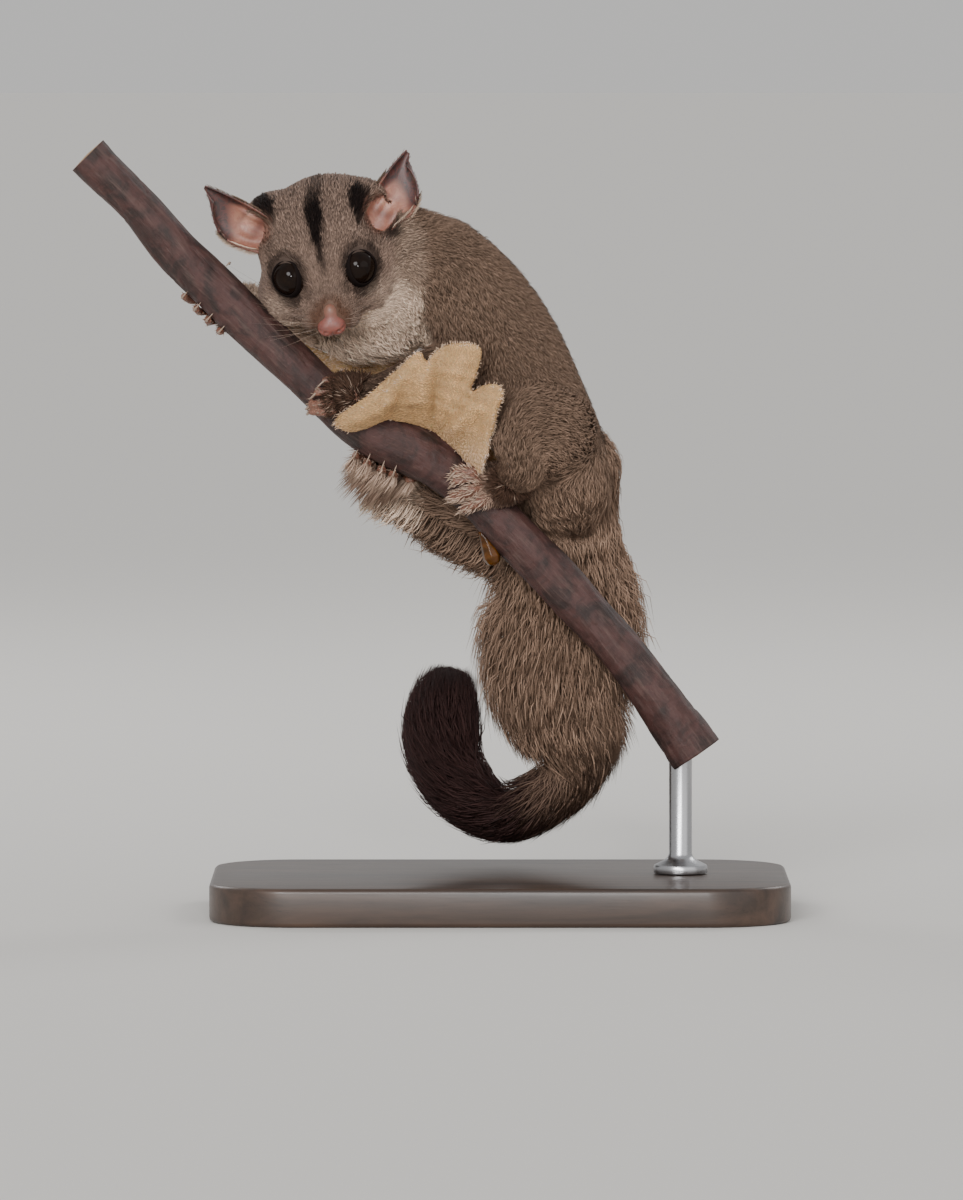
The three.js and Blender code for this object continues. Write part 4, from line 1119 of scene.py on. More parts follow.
def grown(piece, count, seed, dense):
    """Places for tufts, spread over a piece: dense gives the wanted share at each corner."""
    rng = np.random.default_rng(seed)
    verts, corner, normal, uv = triangles_of(piece)
    area = np.linalg.norm(np.cross(corner[:, 1] - corner[:, 0], corner[:, 2] - corner[:, 0]), axis=1) / 2
    weight = np.cumsum(area * dense[verts].mean(1))
    pick = np.searchsorted(weight, (np.arange(count) + rng.random(count)) / count * weight[-1])
    pick = np.minimum(pick, len(corner) - 1)
    a, b = rng.random((2, count))
    flip = a + b > 1
    a, b = np.where(flip, 1 - a, a), np.where(flip, 1 - b, b)
    share = np.stack([1 - a - b, a, b], 1)[..., None]
    return (corner[pick] * share).sum(1), unit((normal[pick] * share).sum(1)), (uv[pick] * share).sum(1), rng


def clumped(roots, ends, size, pull):
    """Ends drawn together, clump by clump, so that the coat breaks into soft locks."""
    count = max(len(roots) // size, 1)
    centres = np.linspace(0, len(roots) - 1, count).astype(int)
    tree = KDTree(count)
    for i, c in enumerate(centres):
        tree.insert(Vector(roots[c]), i)
    tree.balance()
    nearest = np.array([tree.find(Vector(p))[1] for p in roots])
    centre = centres[nearest]
    return ends + pull * (ends[centre] + 0.35 * (roots - roots[centre]) - ends), nearest


def coated(name, piece, count, seed, dense, width, jitter, pull, clump, settings):
    """Grows a coat on a piece, in meshes of at most MOST_TRIANGLES triangles each."""
    roots, normals, uv, rng = grown(piece, count, seed, dense)
    n = len(roots)
    ways, hair, depth, tail = lie_of(roots, normals)
    ways = unit(ways + np.cross(normals, ways) * rng.normal(0, jitter, n)[:, None])
    hair = hair * rng.uniform(0.7, 1.2, n)
    # Three hairs in ten lie close as underfur, and a few stand out.
    lower = np.where(rng.random(n) < 0.3, 0.35, 1)
    depth = depth * lower * rng.uniform(0.55, 1.15, n) * np.where(rng.random(n) < 0.06, 1.3, 1)
    flat = np.sqrt(np.maximum(1 - (depth / np.maximum(hair, 0.1)) ** 2, 0.2))
    ends, clump_of = clumped(roots, roots + ways * (hair * flat)[:, None], clump, pull)
    tips, rises = nearest_on(piece, ends)
    rises = unit(rises + 0.5 * normals)
    keep = allowed(roots, tips + rises * depth[:, None])
    tone = 1 + rng.normal(0, 0.09, n) + 0.05 * rng.normal(0, 1, clump_of.max() + 1)[clump_of]
    guard = rng.random(n)
    tone = np.where(guard < 0.12, tone * 0.7, np.where(guard > 0.88, tone * 1.25, tone))
    shade = coat_colour(roots, settings, tail) * tone[:, None]
    wide = width * np.interp(hair, [1, 3, 6, 18], [0.55, 0.8, 1.0, 1.25]) * rng.uniform(0.8, 1.2, n)
    order = np.flatnonzero(keep)
    order = order[np.argsort(tail[order] * 1000 + roots[order, 0] - roots[order, 2], kind="stable")]
    made = []
    parts = math.ceil(len(order) * TUFT_TRIANGLES / MOST_TRIANGLES)
    for i, part in enumerate(np.array_split(order, parts)):
        rows = [row[part] for row in (roots, normals, ways, tips, rises, depth, wide, shade, uv)]
        made.append(tufts(f"{name}_{i + 1}", *rows))
    return made


def allowed(roots, ends):
    """Leaves out tufts that would cross the eyes or the nose pad."""
    keep = np.ones(len(roots), bool)
    root, end = to_head(roots), to_head(ends)
    for sign in SIDES.values():
        eye, gaze, tall, wide = eye_frame(sign)
        for spot, room in ((root, 0.55), (end, 0.1), ((root + end) / 2, 0.25)):
            p = spot - eye
            across = (p @ wide / (LID["wide"] + room)) ** 2
            inside = across + (p @ tall / (LID["tall"] + room)) ** 2 < 1
            keep &= ~(inside & (p @ gaze > 0))
    keep &= skin_distance(NOSE_BALLS, root, NOSE_BLEND) > 0.15
    return keep


# Operators

PIECES = {}


def settle(piece, *nodes, slot, finish):
    """Rides a finished piece on the body, hides the CAD nodes that it replaces, gives it its finish and keeps
    it by name.
    """
    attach(piece, "root")
    if nodes:
        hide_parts(*nodes)
    piece.data.materials.clear()
    piece.data.materials.append(finish)
    PIECES[piece.name] = piece


def moist(name, roughness, shine, glow, depth):
    """The start of a finish that lets a little light in, to the depth given in mm."""
    values = {"roughness": roughness, "specular_ior_level": shine}
    return Finish(name, **values, subsurface_weight=glow, subsurface_scale=depth * MM)


def fur_finish(name):
    fur = Finish(name, roughness=0.68, specular_ior_level=0.14)
    fur.feed(base_color=fur.painted())
    return fur.material


# How far the forms are swollen before they are joined, and taken back again
SKIN_SWELL = 0.5
SKIN_NODES = [
    "neck", "torso", "arm_upper_left", "forearm_left", "arm_upper_right", "forearm_right",
    "thigh_left", "shank_left", "thigh_right",
]


class GLIDER_OT_skin(Operator):
    """Joins head, body, legs and tail into one skin under the coat"""

    bl_idname = "glider.skin"
    bl_label = "Skin"

    def execute(self, context):
        look = context.scene.glider_skin
        piece = joined("skin", self.forms())
        finished(piece, "REMESH", mode="VOXEL", voxel_size=look.grain)
        edges = read(piece.data.edges, "vertices", 2, np.int32)
        spots = places(piece)
        away = skin_distance(HEAD_BALLS, to_head(spots), HEAD_BLEND)
        on_head = 1 - smoothstep(1, 5, away)
        set_places(piece, relaxed(spots, edges, 36, 0.5 * (1 - 0.93 * on_head)))
        spots, normals = places(piece), directions(piece)
        _, _, depth, tail = lie_of(spots, normals)
        inward = SKIN_SWELL + np.where(tail > 0, 0, np.minimum(depth, 2))
        spots = relaxed(spots - normals * inward[:, None], edges, 3, 0.5 * (1 - 0.6 * on_head))
        set_places(piece, self.pressed(spots, directions(piece)))
        self.thinned(piece, away)
        finished(piece, "TRIANGULATE")
        piece.data.shade_smooth()
        unwrapped(piece)
        spots = places(piece)
        *_, tail = lie_of(spots, directions(piece))
        # The coat's colour, darker, as painted shade deep in the coat between the hairs
        paint_points(piece, coat_colour(spots, context.scene.glider_coat, tail) * 0.75)
        skin = Finish("Skin under the coat", roughness=0.7, specular_ior_level=0.2)
        fine = skin.grain(skin.place(), 2.2, detail=3)
        skin.feed(base_color=skin.mix(fine.between(0.35, 0.7) * 0.35, skin.painted(), tuple(look.under)))
        skin.bump(fine, 0.4, 0.25)
        nodes = (*SKIN_NODES, "head", "shank_right", "tail_1", "tail_2", "tail_3", "tail_4")
        settle(piece, *nodes, slot="coat_grey", finish=skin.material)
        return {"FINISHED"}

    def forms(self):
        """The closed forms that the skin is joined from, all a little swollen."""
        forms = []
        for node in SKIN_NODES:
            points, tris = cad_form(node)
            forms.append((swollen(points, tris, SKIN_SWELL), [tris]))
        forms.append(self.head())
        table, share = tail_stations()
        loft = np.interp(share, *TAIL_LOFT)[:, None] * (table[:, 3:5] - TAIL_FLESH) / 2
        core = np.column_stack([table[:, :3], table[:, 3:5] - loft + SKIN_SWELL])
        forms.append(rounded(core, 36, 160, (6, TAIL_TIP / 2)))
        shank = np.asarray(SHANK_RIGHT, float) + [0, 0, 0, SKIN_SWELL, SKIN_SWELL]
        forms.append(rounded(shank, 36, 60, (4, 2.5)))
        return forms

    def head(self):
        """The head's smooth skin, on rings from the nose to the back of the head."""
        sides = 150
        theta = np.linspace(0, np.pi, sides // 2 + 1)[1:-1]
        phi = np.linspace(0, 2 * np.pi, sides, endpoint=False)
        t, p = np.meshgrid(theta, phi, indexing="ij")
        way = np.stack([np.sin(t) * np.cos(p), np.cos(t), np.sin(t) * np.sin(p)], -1).reshape(-1, 3)
        way = np.vstack([way, [0, 1, 0], [0, -1, 0]])
        points = from_head(skin_points(HEAD_BALLS, HEAD_CENTRE, way, HEAD_BLEND))
        quads, ends = ring_faces(len(theta), sides)
        tris = np.vstack([ends, quads[:, :3], quads[:, [0, 2, 3]]])
        trial = swollen(points, tris, 1.0) - points
        if (trial * (points - points.mean(0))).sum() <= 0:
            tris = tris[:, ::-1]
        return swollen(points, tris, SKIN_SWELL), [tris]

    def pressed(self, spots, normals):
        """Presses the line of the mouth and the hollows before the ears into the skin."""
        line = on_head_skin(curve(MOUTH, np.linspace(0, 1, 60)))
        head = to_head(spots)
        near = np.flatnonzero(head[:, 1] > 6)
        gap = np.linalg.norm(head[near, None] - line[None], axis=2).min(1)
        dent = np.zeros(len(spots))
        dent[near] = 0.75 * hump(gap, 0, 0.75) - 0.25 * hump(gap, 1.5, 0.8)
        spots = spots - normals * dent[:, None]
        for sign in SIDES.values():
            deep = EAR_HOLLOWS[sign][4] * np.exp(-(ear_hollow(spots, sign) ** 4)) * (head[:, 1] > -9)
            spots = spots + deep[:, None] * [0, 1, 0]
        return spots

    def thinned(self, piece, away):
        """Leaves fewer faces, and most of them on the face."""
        group = piece.vertex_groups.new(name="face")
        weight = np.round(1 - smoothstep(1, 4, away) * 0.9, 1)
        for level in np.unique(weight):
            group.add(np.flatnonzero(weight == level).tolist(), float(level), "REPLACE")
        settings = {"vertex_group": "face", "invert_vertex_group": True, "vertex_group_factor": 0.6}
        finished(piece, "DECIMATE", ratio=min(75000 / len(piece.data.polygons), 1), **settings)
        piece.vertex_groups.clear()


class GLIDER_OT_coat(Operator):
    """Grows the coat over the skin, short on the face and long on the tail"""

    bl_idname = "glider.coat"
    bl_label = "Coat"

    def execute(self, context):
        coat = context.scene.glider_coat
        skin = PIECES["skin"]
        spots, normals = places(skin), directions(skin)
        _, hair, _, tail = lie_of(spots, normals)
        on_head = headness(spots, 1.5, 3.5)
        long = np.maximum((tail > 0).astype(float), smoothstep(8.6, 10.5, hair))
        front = np.interp(to_head(spots)[:, 1], [-10, 6, 20], [1, 1.5, 2.4])
        fur = fur_finish("Fur")
        # Name, count, seed, where it grows, width, jitter, pull and size of its clumps
        for name, count, *rest in (
            ("coat_face", coat.short_hairs, 1, on_head * front, 0.42, 0.2, 0.1, 10),
            ("coat_body", coat.body_hairs, 2, (1 - on_head) * (1 - long), 0.33, 0.28, 0.15, 7),
            ("coat_long", coat.long_hairs, 3, (1 - on_head) * long, 0.34, 0.17, 0.16, 8),
        ):
            for piece in coated(name, skin, count, *rest, coat):
                settle(piece, slot="coat_grey", finish=fur)
        return {"FINISHED"}


class GLIDER_OT_eyes(Operator):
    """Sets the dark eyes in the head, with their lids"""

    bl_idname = "glider.eyes"
    bl_label = "Eyes"

    def execute(self, context):
        wet = Finish("Eye", roughness=0.04, specular_ior_level=0.12)
        place = wet.place()
        depth = wet.grain(place, 0.6, detail=2)
        wet.feed(base_color=wet.mix(depth, (0.003, 0.002, 0.002), (0.014, 0.007, 0.004)))
        rim = Finish("Eyelid", roughness=0.85, specular_ior_level=0.06)
        wrinkle = rim.grain(rim.place(), 5.0, detail=3)
        rim.feed(base_color=rim.mix(wrinkle, (0.004, 0.003, 0.003), (0.014, 0.009, 0.008)))
        rim.bump(wrinkle, 0.3, 0.08)
        for name, sign in SIDES.items():
            settle(self.ball(name, sign), "eye_" + name, slot="eye", finish=wet.material)
            settle(self.lids(name, sign), slot="coat_dark", finish=rim.material)
        return {"FINISHED"}

    def ball(self, name, sign):
        centre, gaze, *_ = eye_frame(sign)
        at = from_head([centre])[0]
        size = {"segments": 64, "ring_count": 40, "radius": EYE_RADIUS * MM, "location": tuple(at * MM)}
        eye = added("eyeball_" + name, bpy.ops.mesh.primitive_uv_sphere_add, **size)
        bpy.ops.object.transform_apply(location=True, rotation=True, scale=True)
        # A slight bulge of the cornea, in the way that the eye looks
        gaze = unit(gaze @ HEAD_TURN.T)
        spots = places(eye)
        facing = unit(spots - at) @ gaze
        set_places(eye, spots + gaze * (0.35 * smoothstep(0.55, 1, facing))[:, None])
        eye.data.shade_smooth()
        return eye

    def lids(self, name, sign):
        """A closed ring of skin round the eye's opening, a little longer at its inner corner."""
        eye, gaze, tall, wide = eye_frame(sign)
        a = np.linspace(0, 2 * np.pi, 96, endpoint=False)
        inner = np.pi if sign > 0 else 0
        corner = 1 + 0.1 * hump(np.mod(a - inner - np.pi, 2 * np.pi), np.pi, 0.35)
        flat = np.outer(np.cos(a) * corner * LID["wide"], wide) + np.outer(np.sin(a) * LID["tall"], tall)
        rings = []
        for grow, lift in LID_PROFILE:
            p = flat * grow
            rise = np.sqrt(np.maximum((EYE_RADIUS + lift) ** 2 - (p**2).sum(1), 0))
            rings.append(eye + (p + rise[:, None] * gaze))
        grid = ring_grid(len(rings), len(a))
        faces = grid_faces(np.vstack([grid, grid[:1]]))
        lids = new_piece("eyelids_" + name, from_head(np.vstack(rings)), [faces])
        outward(lids)
        return lids


class GLIDER_OT_nose(Operator):
    """Shapes the pink nose pad with its nostrils, and the whiskers"""

    bl_idname = "glider.nose"
    bl_label = "Nose and whiskers"

    def execute(self, context):
        look = context.scene.glider_skin
        pad = added("nose_pad", bpy.ops.mesh.primitive_ico_sphere_add, subdivisions=5, radius=1)
        way = unit(places(pad) * MM)
        points = skin_points(NOSE_BALLS, NOSE_CENTRE, way, NOSE_BLEND)
        for sign in SIDES.values():
            pit = np.exp(-(oval(points, sign, NOSTRIL) ** 3))
            pit = np.maximum(pit, 0.7 * np.exp(-(oval(points, sign, NOSTRIL_SLIT) ** 2)))
            points = points - way * (0.95 * pit)[:, None]
        side, front, up = points.T
        groove = hump(side, 0, 0.28) * smoothstep(22, 24, front) * smoothstep(-4.4, -6.2, up)
        points = points - way * (0.35 * groove)[:, None]
        set_places(pad, from_head(points))
        outward(pad)
        pad.data.shade_smooth()
        skin = moist("Nose pad", 0.34, 0.55, 0.25, 1.2)
        place = skin.place()
        voronoi = {"Vector": place, "Scale": 3.2}
        cells = skin.node("ShaderNodeTexVoronoi", {"feature": "DISTANCE_TO_EDGE"}, voronoi)["Distance"]
        blotch = skin.grain(place, 0.8, detail=3)
        tone = skin.mix(blotch.between(0.3, 0.75), toned(look.nose, 0.62), tuple(look.nose))
        bridge = skin.node("ShaderNodeSeparateXYZ", {}, {"Vector": place})["Z"]
        skin.feed(base_color=skin.mix(bridge.between(154.8, 157.0) * 0.9, tone, tint("7a5444")))
        skin.feed(roughness=0.28 + blotch * 0.2)
        skin.bump(cells.between(0, 0.12), 0.35, 0.06)
        settle(pad, "nose", slot="nose_skin", finish=skin.material)
        self.whiskers()
        return {"FINISHED"}

    def whiskers(self):
        """Three rows of five whiskers beside the nose, and three over each eye."""
        rng = np.random.default_rng(21)
        forms = []
        for sign in SIDES.values():
            for row in range(3):
                for k in range(5):
                    root = [sign * (3.4 + 0.75 * k), 19.2 - 1.9 * k, -3.4 - 1.15 * row + 0.25 * k]
                    way = [sign * (1.0 + 0.12 * k), 0.15 - 0.34 * k, 0.30 - 0.26 * row]
                    out = unit(np.array(way) + rng.normal(0, 0.07, 3))
                    size = (13 + 3.4 * k) * rng.uniform(0.8, 1.15)
                    droop = np.array([0, -0.3, -0.16 + 0.05 * rng.normal()]) * size * 0.55
                    start = on_head_skin([root])[0] - out * 0.4
                    forms.append(self.whisker(start, out * size, droop, 0.055, 12))
            for k in range(3):
                root = [sign * (6.2 + 0.7 * k), 11.5 - k, 8.4]
                out = unit(np.array([sign * 0.5, 0.1 - 0.2 * k, 0.85]) + rng.normal(0, 0.1, 3))
                bend = np.array([sign * 1.5, -3.5, 0])
                forms.append(self.whisker(on_head_skin([root])[0], out * 9, bend, 0.05, 10))
        piece = joined("whiskers", forms)
        outward(piece)
        hair = Finish("Whisker", roughness=0.4, specular_ior_level=0.5)
        root_near = hair.grain(hair.place(), 0.09, detail=1)
        hair.feed(base_color=hair.mix(root_near.between(0.35, 0.65), tint("3a2a24"), tint("8f7a6b")))
        settle(piece, slot="coat_dark", finish=hair.material)

    def whisker(self, start, out, bend, thick, steps):
        s = np.linspace(0, 1, steps)[:, None]
        wide = thick * (1 - 0.75 * s[:, 0])
        return tube(from_head(start + out * s + bend * s**2), wide, wide, 5, across=(0.2, 0.3, 0.9))


class GLIDER_OT_ears(Operator):
    """Rolls the thin ears, with the folds of their cups"""

    bl_idname = "glider.ears"
    bl_label = "Ears"

    def execute(self, context):
        look = context.scene.glider_skin
        coat = context.scene.glider_coat
        skin = moist("Ear", 0.42, 0.5, 0.2, 1.5)
        place = skin.place()
        veins = skin.grain(place, 0.35, detail=6, rough=0.65, distortion=1.4)
        fine = skin.grain(place, 4.5, detail=3)
        vein = veins.between(0.42, 0.5) * (1 - veins.between(0.5, 0.58)) * 0.4
        skin.feed(base_color=skin.mix(vein, skin.painted(), tint("7a3f38")))
        skin.feed(roughness=0.32 + fine * 0.25)
        skin.bump(fine + veins * 0.6, 0.35, 0.12)
        hairs = fur_finish("Ear fur")
        for name, sign in SIDES.items():
            ear = self.shell(name, sign, look, coat)
            settle(ear, "ear_" + name, slot="bare_skin", finish=skin.material)
            settle(self.fringe(name, sign, coat), slot="coat_cream", finish=hairs)
        return {"FINISHED"}

    def shade(self, u, v, look, coat):
        """Pink below and grey above, with dark margins, painted light on the middle of the cup, and painted
        shade in two folds.
        """
        grey = smoothstep(0.42, 0.62, v + 0.10 * np.sin(9 * u) + 0.08 * (u - 0.5))
        shade = mixed(np.broadcast_to(np.array(look.ear_pink), (len(v), 3)), grey, look.ear_grey)
        edge = np.maximum(smoothstep(0.07, 0.0, u), smoothstep(0.93, 1, u)) * 0.5
        shade = mixed(shade, edge * (1 - grey), coat.stripe)
        # Painted light on the middle of the cup
        middle_light = hump(v, 0.36, 0.09) * hump(u, 0.5, 0.13)
        shade = mixed(shade, middle_light * 0.55, tint("dcaa94"))
        # Painted shade in the cup's two folds, the lower one near the root
        fold = hump(v, 0.2, 0.05) * hump(u, 0.52, 0.2) + hump(v, 0.43, 0.03) * hump(u, 0.4, 0.25)
        return mixed(shade, fold * 0.6, tint("56302a"))

    def surface(self, name, sign, u, v):
        """Places on the ear's middle sheet, u across it from its inner edge and v from root to tip,
        and the way its cup opens."""
        spec = EARS[name]
        start = from_head([spec["root"]])[0]
        along = unit(np.array(spec["axis"], float))
        front = np.array(spec["open"], float)
        front = unit(front - (front @ along) * along)
        out = np.cross(along, front) * sign
        side = 2 * u - 1
        inner = EAR["inner"] * np.maximum(1.1 - v, 0) ** 0.8
        round_tip = np.sqrt(np.maximum(1.02 - v**2.4, 0))
        outer = EAR["outer"] * np.sin(np.pi * np.minimum(0.28 + 0.5 * v, 1)) * round_tip
        across = np.where(side < 0, inner, outer) * np.sin(side * np.pi / 2)
        across = across * (1 - 0.3 * np.maximum(1 - v, 0) ** 1.5)
        hollow = EAR["cup"] * (1 - 0.72 * v) * np.cos(side * np.pi / 2)
        torn = spec["nick"] * hump(u, 0.66, 0.06) * v**10
        rise = v * (EAR["length"] + EAR["sink"]) * (1 - 0.2 * np.maximum(side, 0) * v)
        rise = rise - EAR["sink"] - torn
        # Soft ridges in the cup, and a slight wave towards the rim
        ridge = 0.9 * hump(u - 0.25 * (v - 0.3), 0.42, 0.075) * hump(v, 0.34, 0.15)
        ridge += 0.7 * hump(u, 0.66, 0.07) * hump(v, 0.26, 0.13)
        ridge += 0.16 * np.sin(11 * v + 5 * u) * smoothstep(0.35, 0.7, v)
        lift = 1.5 - hollow + 1.2 * v * v + ridge
        spot = start + rise[:, None] * along + across[:, None] * out + lift[:, None] * front
        return spot, front

    def facing(self, name, sign, u, v):
        """The middle sheet's direction at each place, and its ways across and along."""
        step = 1e-3
        ways = []
        for du, dv in ((step, 0), (0, step)):
            after, front = self.surface(name, sign, np.minimum(u + du, 1), np.minimum(v + dv, 1))
            before, _ = self.surface(name, sign, np.maximum(u - du, 0), np.maximum(v - dv, 0))
            ways.append(after - before)
        face = unit(np.cross(*ways))
        return face * np.sign(face @ front)[:, None], *ways

    def shell(self, name, sign, look, coat):
        """The thin ear, thinnest at its rim, as two sheets with a wall round them."""
        nu, nv = 61, 56
        grid = np.meshgrid(np.linspace(0, 1, nu), np.linspace(0, 1, nv), indexing="ij")
        u, v = (g.ravel() for g in grid)
        middle, _ = self.surface(name, sign, u, v)
        normal, *_ = self.facing(name, sign, u, v)
        thin = EAR["thick"] * (1 - 0.45 * smoothstep(0.4, 1, v))[:, None]
        points = np.vstack([middle + normal * thin / 2, middle - normal * thin / 2])
        n = nu * nv
        grid = np.arange(n).reshape(nu, nv)
        face = np.stack([grid[:-1, :-1], grid[1:, :-1], grid[1:, 1:], grid[:-1, 1:]], -1).reshape(-1, 4)
        rim = np.concatenate([grid[:-1, 0], grid[-1, :-1], grid[:0:-1, -1], grid[0, :0:-1]])
        after = np.roll(rim, -1)
        wall = np.stack([rim, after, after + n, rim + n], 1)
        ear = new_piece("ear_shell_" + name, points, [face, face[:, ::-1] + n, wall])
        outward(ear)
        paint_points(ear, self.shade(np.tile(u, 2), np.tile(v, 2), look, coat))
        return ear

    def fringe(self, name, sign, coat):
        """Short hair on the ear's back and along its lower margins, and longer pale hair inside."""
        rng = np.random.default_rng(31 if sign > 0 else 32)
        count = 1000
        u = rng.random(count)
        v = rng.random(count) ** 1.3 * 0.95
        edge = rng.random(count) < 0.45
        margin = np.where(rng.random(count) < 0.5, rng.random(count) * 0.06, 1 - rng.random(count) * 0.08)
        u = np.where(edge, margin, u)
        v = np.where(edge, rng.random(count) * 0.62, v)
        spot, _ = self.surface(name, sign, u, v)
        face, du, dv = self.facing(name, sign, u, v)
        low_inside = edge & (v < 0.32) & (rng.random(count) < 0.5)
        out = np.where(low_inside[:, None], face, -face)
        way = unit(dv) + unit(du) * np.where(edge, np.sign(u - 0.5), 0)[:, None] * 0.7
        way = unit(way - (way * out).sum(1, keepdims=True) * out * 0.6)
        hair = np.where(edge, 2.6 - 1.6 * v, 1.3) * rng.uniform(0.7, 1.2, count)
        dark = np.broadcast_to(np.array(coat.back), (count, 3)) * 0.8
        shade = mixed(dark, edge * (u > 0.5) * smoothstep(0.7, 0.3, v), coat.throat)
        shade = shade * (1 + rng.normal(0, 0.12, count))[:, None]
        uv = np.stack([u * 0.5 + (0 if sign > 0 else 0.5), v], 1)
        width = np.full(count, 0.2)
        root = spot + out * 0.3
        ends = spot + way * hair[:, None] + out * 0.3
        # Darker towards the roots, as painted shade deep in the coat
        shade_levels = (0.7, 0.95, 1.1)
        return tufts("ear_fur_" + name, root, out, way, ends, out, hair * 0.25, width, shade, uv, shade_levels)


# The left elbow, from which the membrane's folds run out, and each fold: degrees, spread and height.
ELBOW = (-18.2, 0, 121.5)
FOLDS = [
    (140, 12, 0.5), (118, 6, -0.8), (97, 7, 1.0), (83, 5, -1.2), (69, 7, 1.1),
    (53, 5, -1.2), (38, 8, 1.0), (10, 12, -0.7), (-12, 8, 0.5),
]


class GLIDER_OT_membranes(Operator):
    """Drapes the ruffled gliding membranes"""

    bl_idname = "glider.membranes"
    bl_label = "Gliding membranes"

    def execute(self, context):
        look = context.scene.glider_skin
        coat = context.scene.glider_coat
        cloth = moist("Membrane skin", 0.6, 0.3, 0.15, 1)
        fine = cloth.grain(cloth.place(), 1.6, detail=5)
        tone = cloth.mix(fine.between(0.3, 0.8), toned(look.membrane, 0.62), toned(look.membrane, 0.85))
        cloth.feed(base_color=tone)
        cloth.bump(fine, 0.5, 0.25)
        hairs = fur_finish("Membrane fur")
        for name in SIDES:
            node = "membrane_" + name
            sheet = softened("membrane_sheet_" + name, node, 0.42, 5)
            if name == "left":
                spots = places(sheet)
                set_places(sheet, spots - self.relief(spots)[:, None] * [0, 1.1, 0])
            unwrapped(sheet)
            settle(sheet, node, slot="coat_cream", finish=cloth.material)
            settle(self.velvet(name, sheet, look, coat), slot="coat_cream", finish=hairs)
        return {"FINISHED"}

    def relief(self, spots):
        """Folds that run out from the elbow to the lobes of the free edge."""
        across, high = (spots - ELBOW)[:, [0, 2]].T
        angle = np.degrees(np.arctan2(high, across))
        height = sum(size * hump(angle, middle, spread) for middle, spread, size in FOLDS)
        return (height + 0.25 * noise_field(spots, 5, 9)) * smoothstep(3, 14, np.hypot(across, high))

    def velvet(self, name, sheet, look, coat):
        """Short hair that runs outwards over the membrane, and stands past its free edge. On the left
        membrane it carries painted shade in the folds' valleys and painted light on their ridges.
        """
        spots = places(sheet)
        count = 11000 if name == "left" else 6000
        roots, normals, uv, rng = grown(sheet, count, 41, np.ones(len(spots)))
        n = len(roots)
        way = unit(roots - [0, 9, 140.0] + 0.6 * (roots - spots.mean(0)))
        way = laid(unit(way + rng.normal(0, 0.22, way.shape)), normals)
        hair = rng.uniform(0.7, 1.5, n)
        ends = roots + way * hair[:, None]
        tips, rises = nearest_on(sheet, ends)
        over = np.linalg.norm(ends - tips, axis=1) > 0.5
        tips = np.where(over[:, None], ends, tips)
        rises = unit(np.where(over[:, None], normals, rises))
        shade = np.array(look.membrane) * (1 + rng.normal(0, 0.1, n))[:, None]
        shade = mixed(shade, 0.25 * smoothstep(0.2, 0.9, noise_field(roots, 6, 8)), coat.tail)
        shade = mixed(shade, 0.7 * over + 0.4 * smoothstep(130, 119, roots[:, 2]), coat.throat)
        if name == "left":
            # Painted shade in the valleys of the folds and painted light on their ridges
            shade = shade * (1 + 0.16 * self.relief(roots))[:, None]
        else:
            by_chin = smoothstep(138, 143, roots[:, 2]) * smoothstep(-24, -30, roots[:, 0])
            shade = mixed(shade, by_chin, coat.throat)
        width = rng.uniform(0.22, 0.32, n) * 1
        rows = (roots, normals, way, tips, rises, hair * 0.16, width, shade, uv)
        # The last factors darken each tuft towards its root, as painted shade deep in the coat
        return tufts("membrane_fur_" + name, *rows, (0.72, 0.95, 1.08))


# How far along the branch its knot is
KNOT_ALONG = 137
PERCH_TABLE = np.asarray(PERCH, float)
PERCH_LINE = curve(PERCH_TABLE[:, :3], np.linspace(0, 1, 2401))
PERCH_STEPS = run_along(PERCH_LINE)


def perch_middle(along):
    return np.array([np.interp(along, PERCH_STEPS, PERCH_LINE[:, k]) for k in range(3)])


def on_perch(along, degrees, above):
    """A place on the branch: mm along it, degrees round it from its upper right, mm above the bark."""
    spot = np.interp(along, PERCH_STEPS, np.linspace(0, 1, len(PERCH_LINE)))
    tangent = unit(perch_middle(along + 0.5) - perch_middle(along - 0.5))
    up = unit(np.cross([0, 1, 0], tangent))
    up = up if up[2] > 0 else -up
    radius = np.interp(spot * (len(PERCH) - 1), np.arange(len(PERCH)), PERCH_TABLE[:, 3]) + above
    a = math.radians(degrees)
    front = np.array([0, -1, 0])
    return perch_middle(along) + up * radius * math.cos(a) + front * radius * math.sin(a)


# Where each digit ends on the branch: mm along, degrees round, thickness, and which way it curls.
CLAWS = {
    "hand_left": [
        (84.8, 66, 1.2, 1),
        (85.4, 98, 1.3, 1),
        (86.4, 128, 1.35, 1),
        (87.6, 142, 1.3, 1),
        (86.4, 6, 1.3, -1),
    ],
    "hand_right": [
        (43.4, 184, 1.3, -1),
        (47.8, 174, 1.35, -1),
        (52, 170, 1.4, -1),
        (56.4, 174, 1.35, -1),
        (46, 340, 1.4, 1),
    ],
    "foot_left": [(126.8, 78, 1.25, 1), (128.4, 94, 1.25, 1), (130.8, 124, 1.7, 1), (135, 124, 1.65, 1)],
    "foot_right": [
        (102.4, 182, 1.3, -1),
        (105.2, 172, 1.4, -1),
        (109, 174, 1.55, -1),
        (112.4, 172, 1.55, -1),
    ],
}
CLAW_LENGTH = 3
WRISTS = {
    "hand_left": (-36.5, -9.8, 134.4),
    "hand_right": (-66.5, 12.5, 156.5),
    "foot_left": (3.5, -11.5, 113),
    "foot_right": (-31, 12.5, 113.6),
}
# The hair over each hand and foot: how much grows on the digits, its length there, and how dark it is.
PAW_HAIR = {
    "hand_left": (0.03, 1.2, 0.97),
    "hand_right": (0.03, 1.2, 0.5),
    "foot_left": (0.16, 2.1, 0.92),
    "foot_right": (0.05, 1.2, 0.25),
}


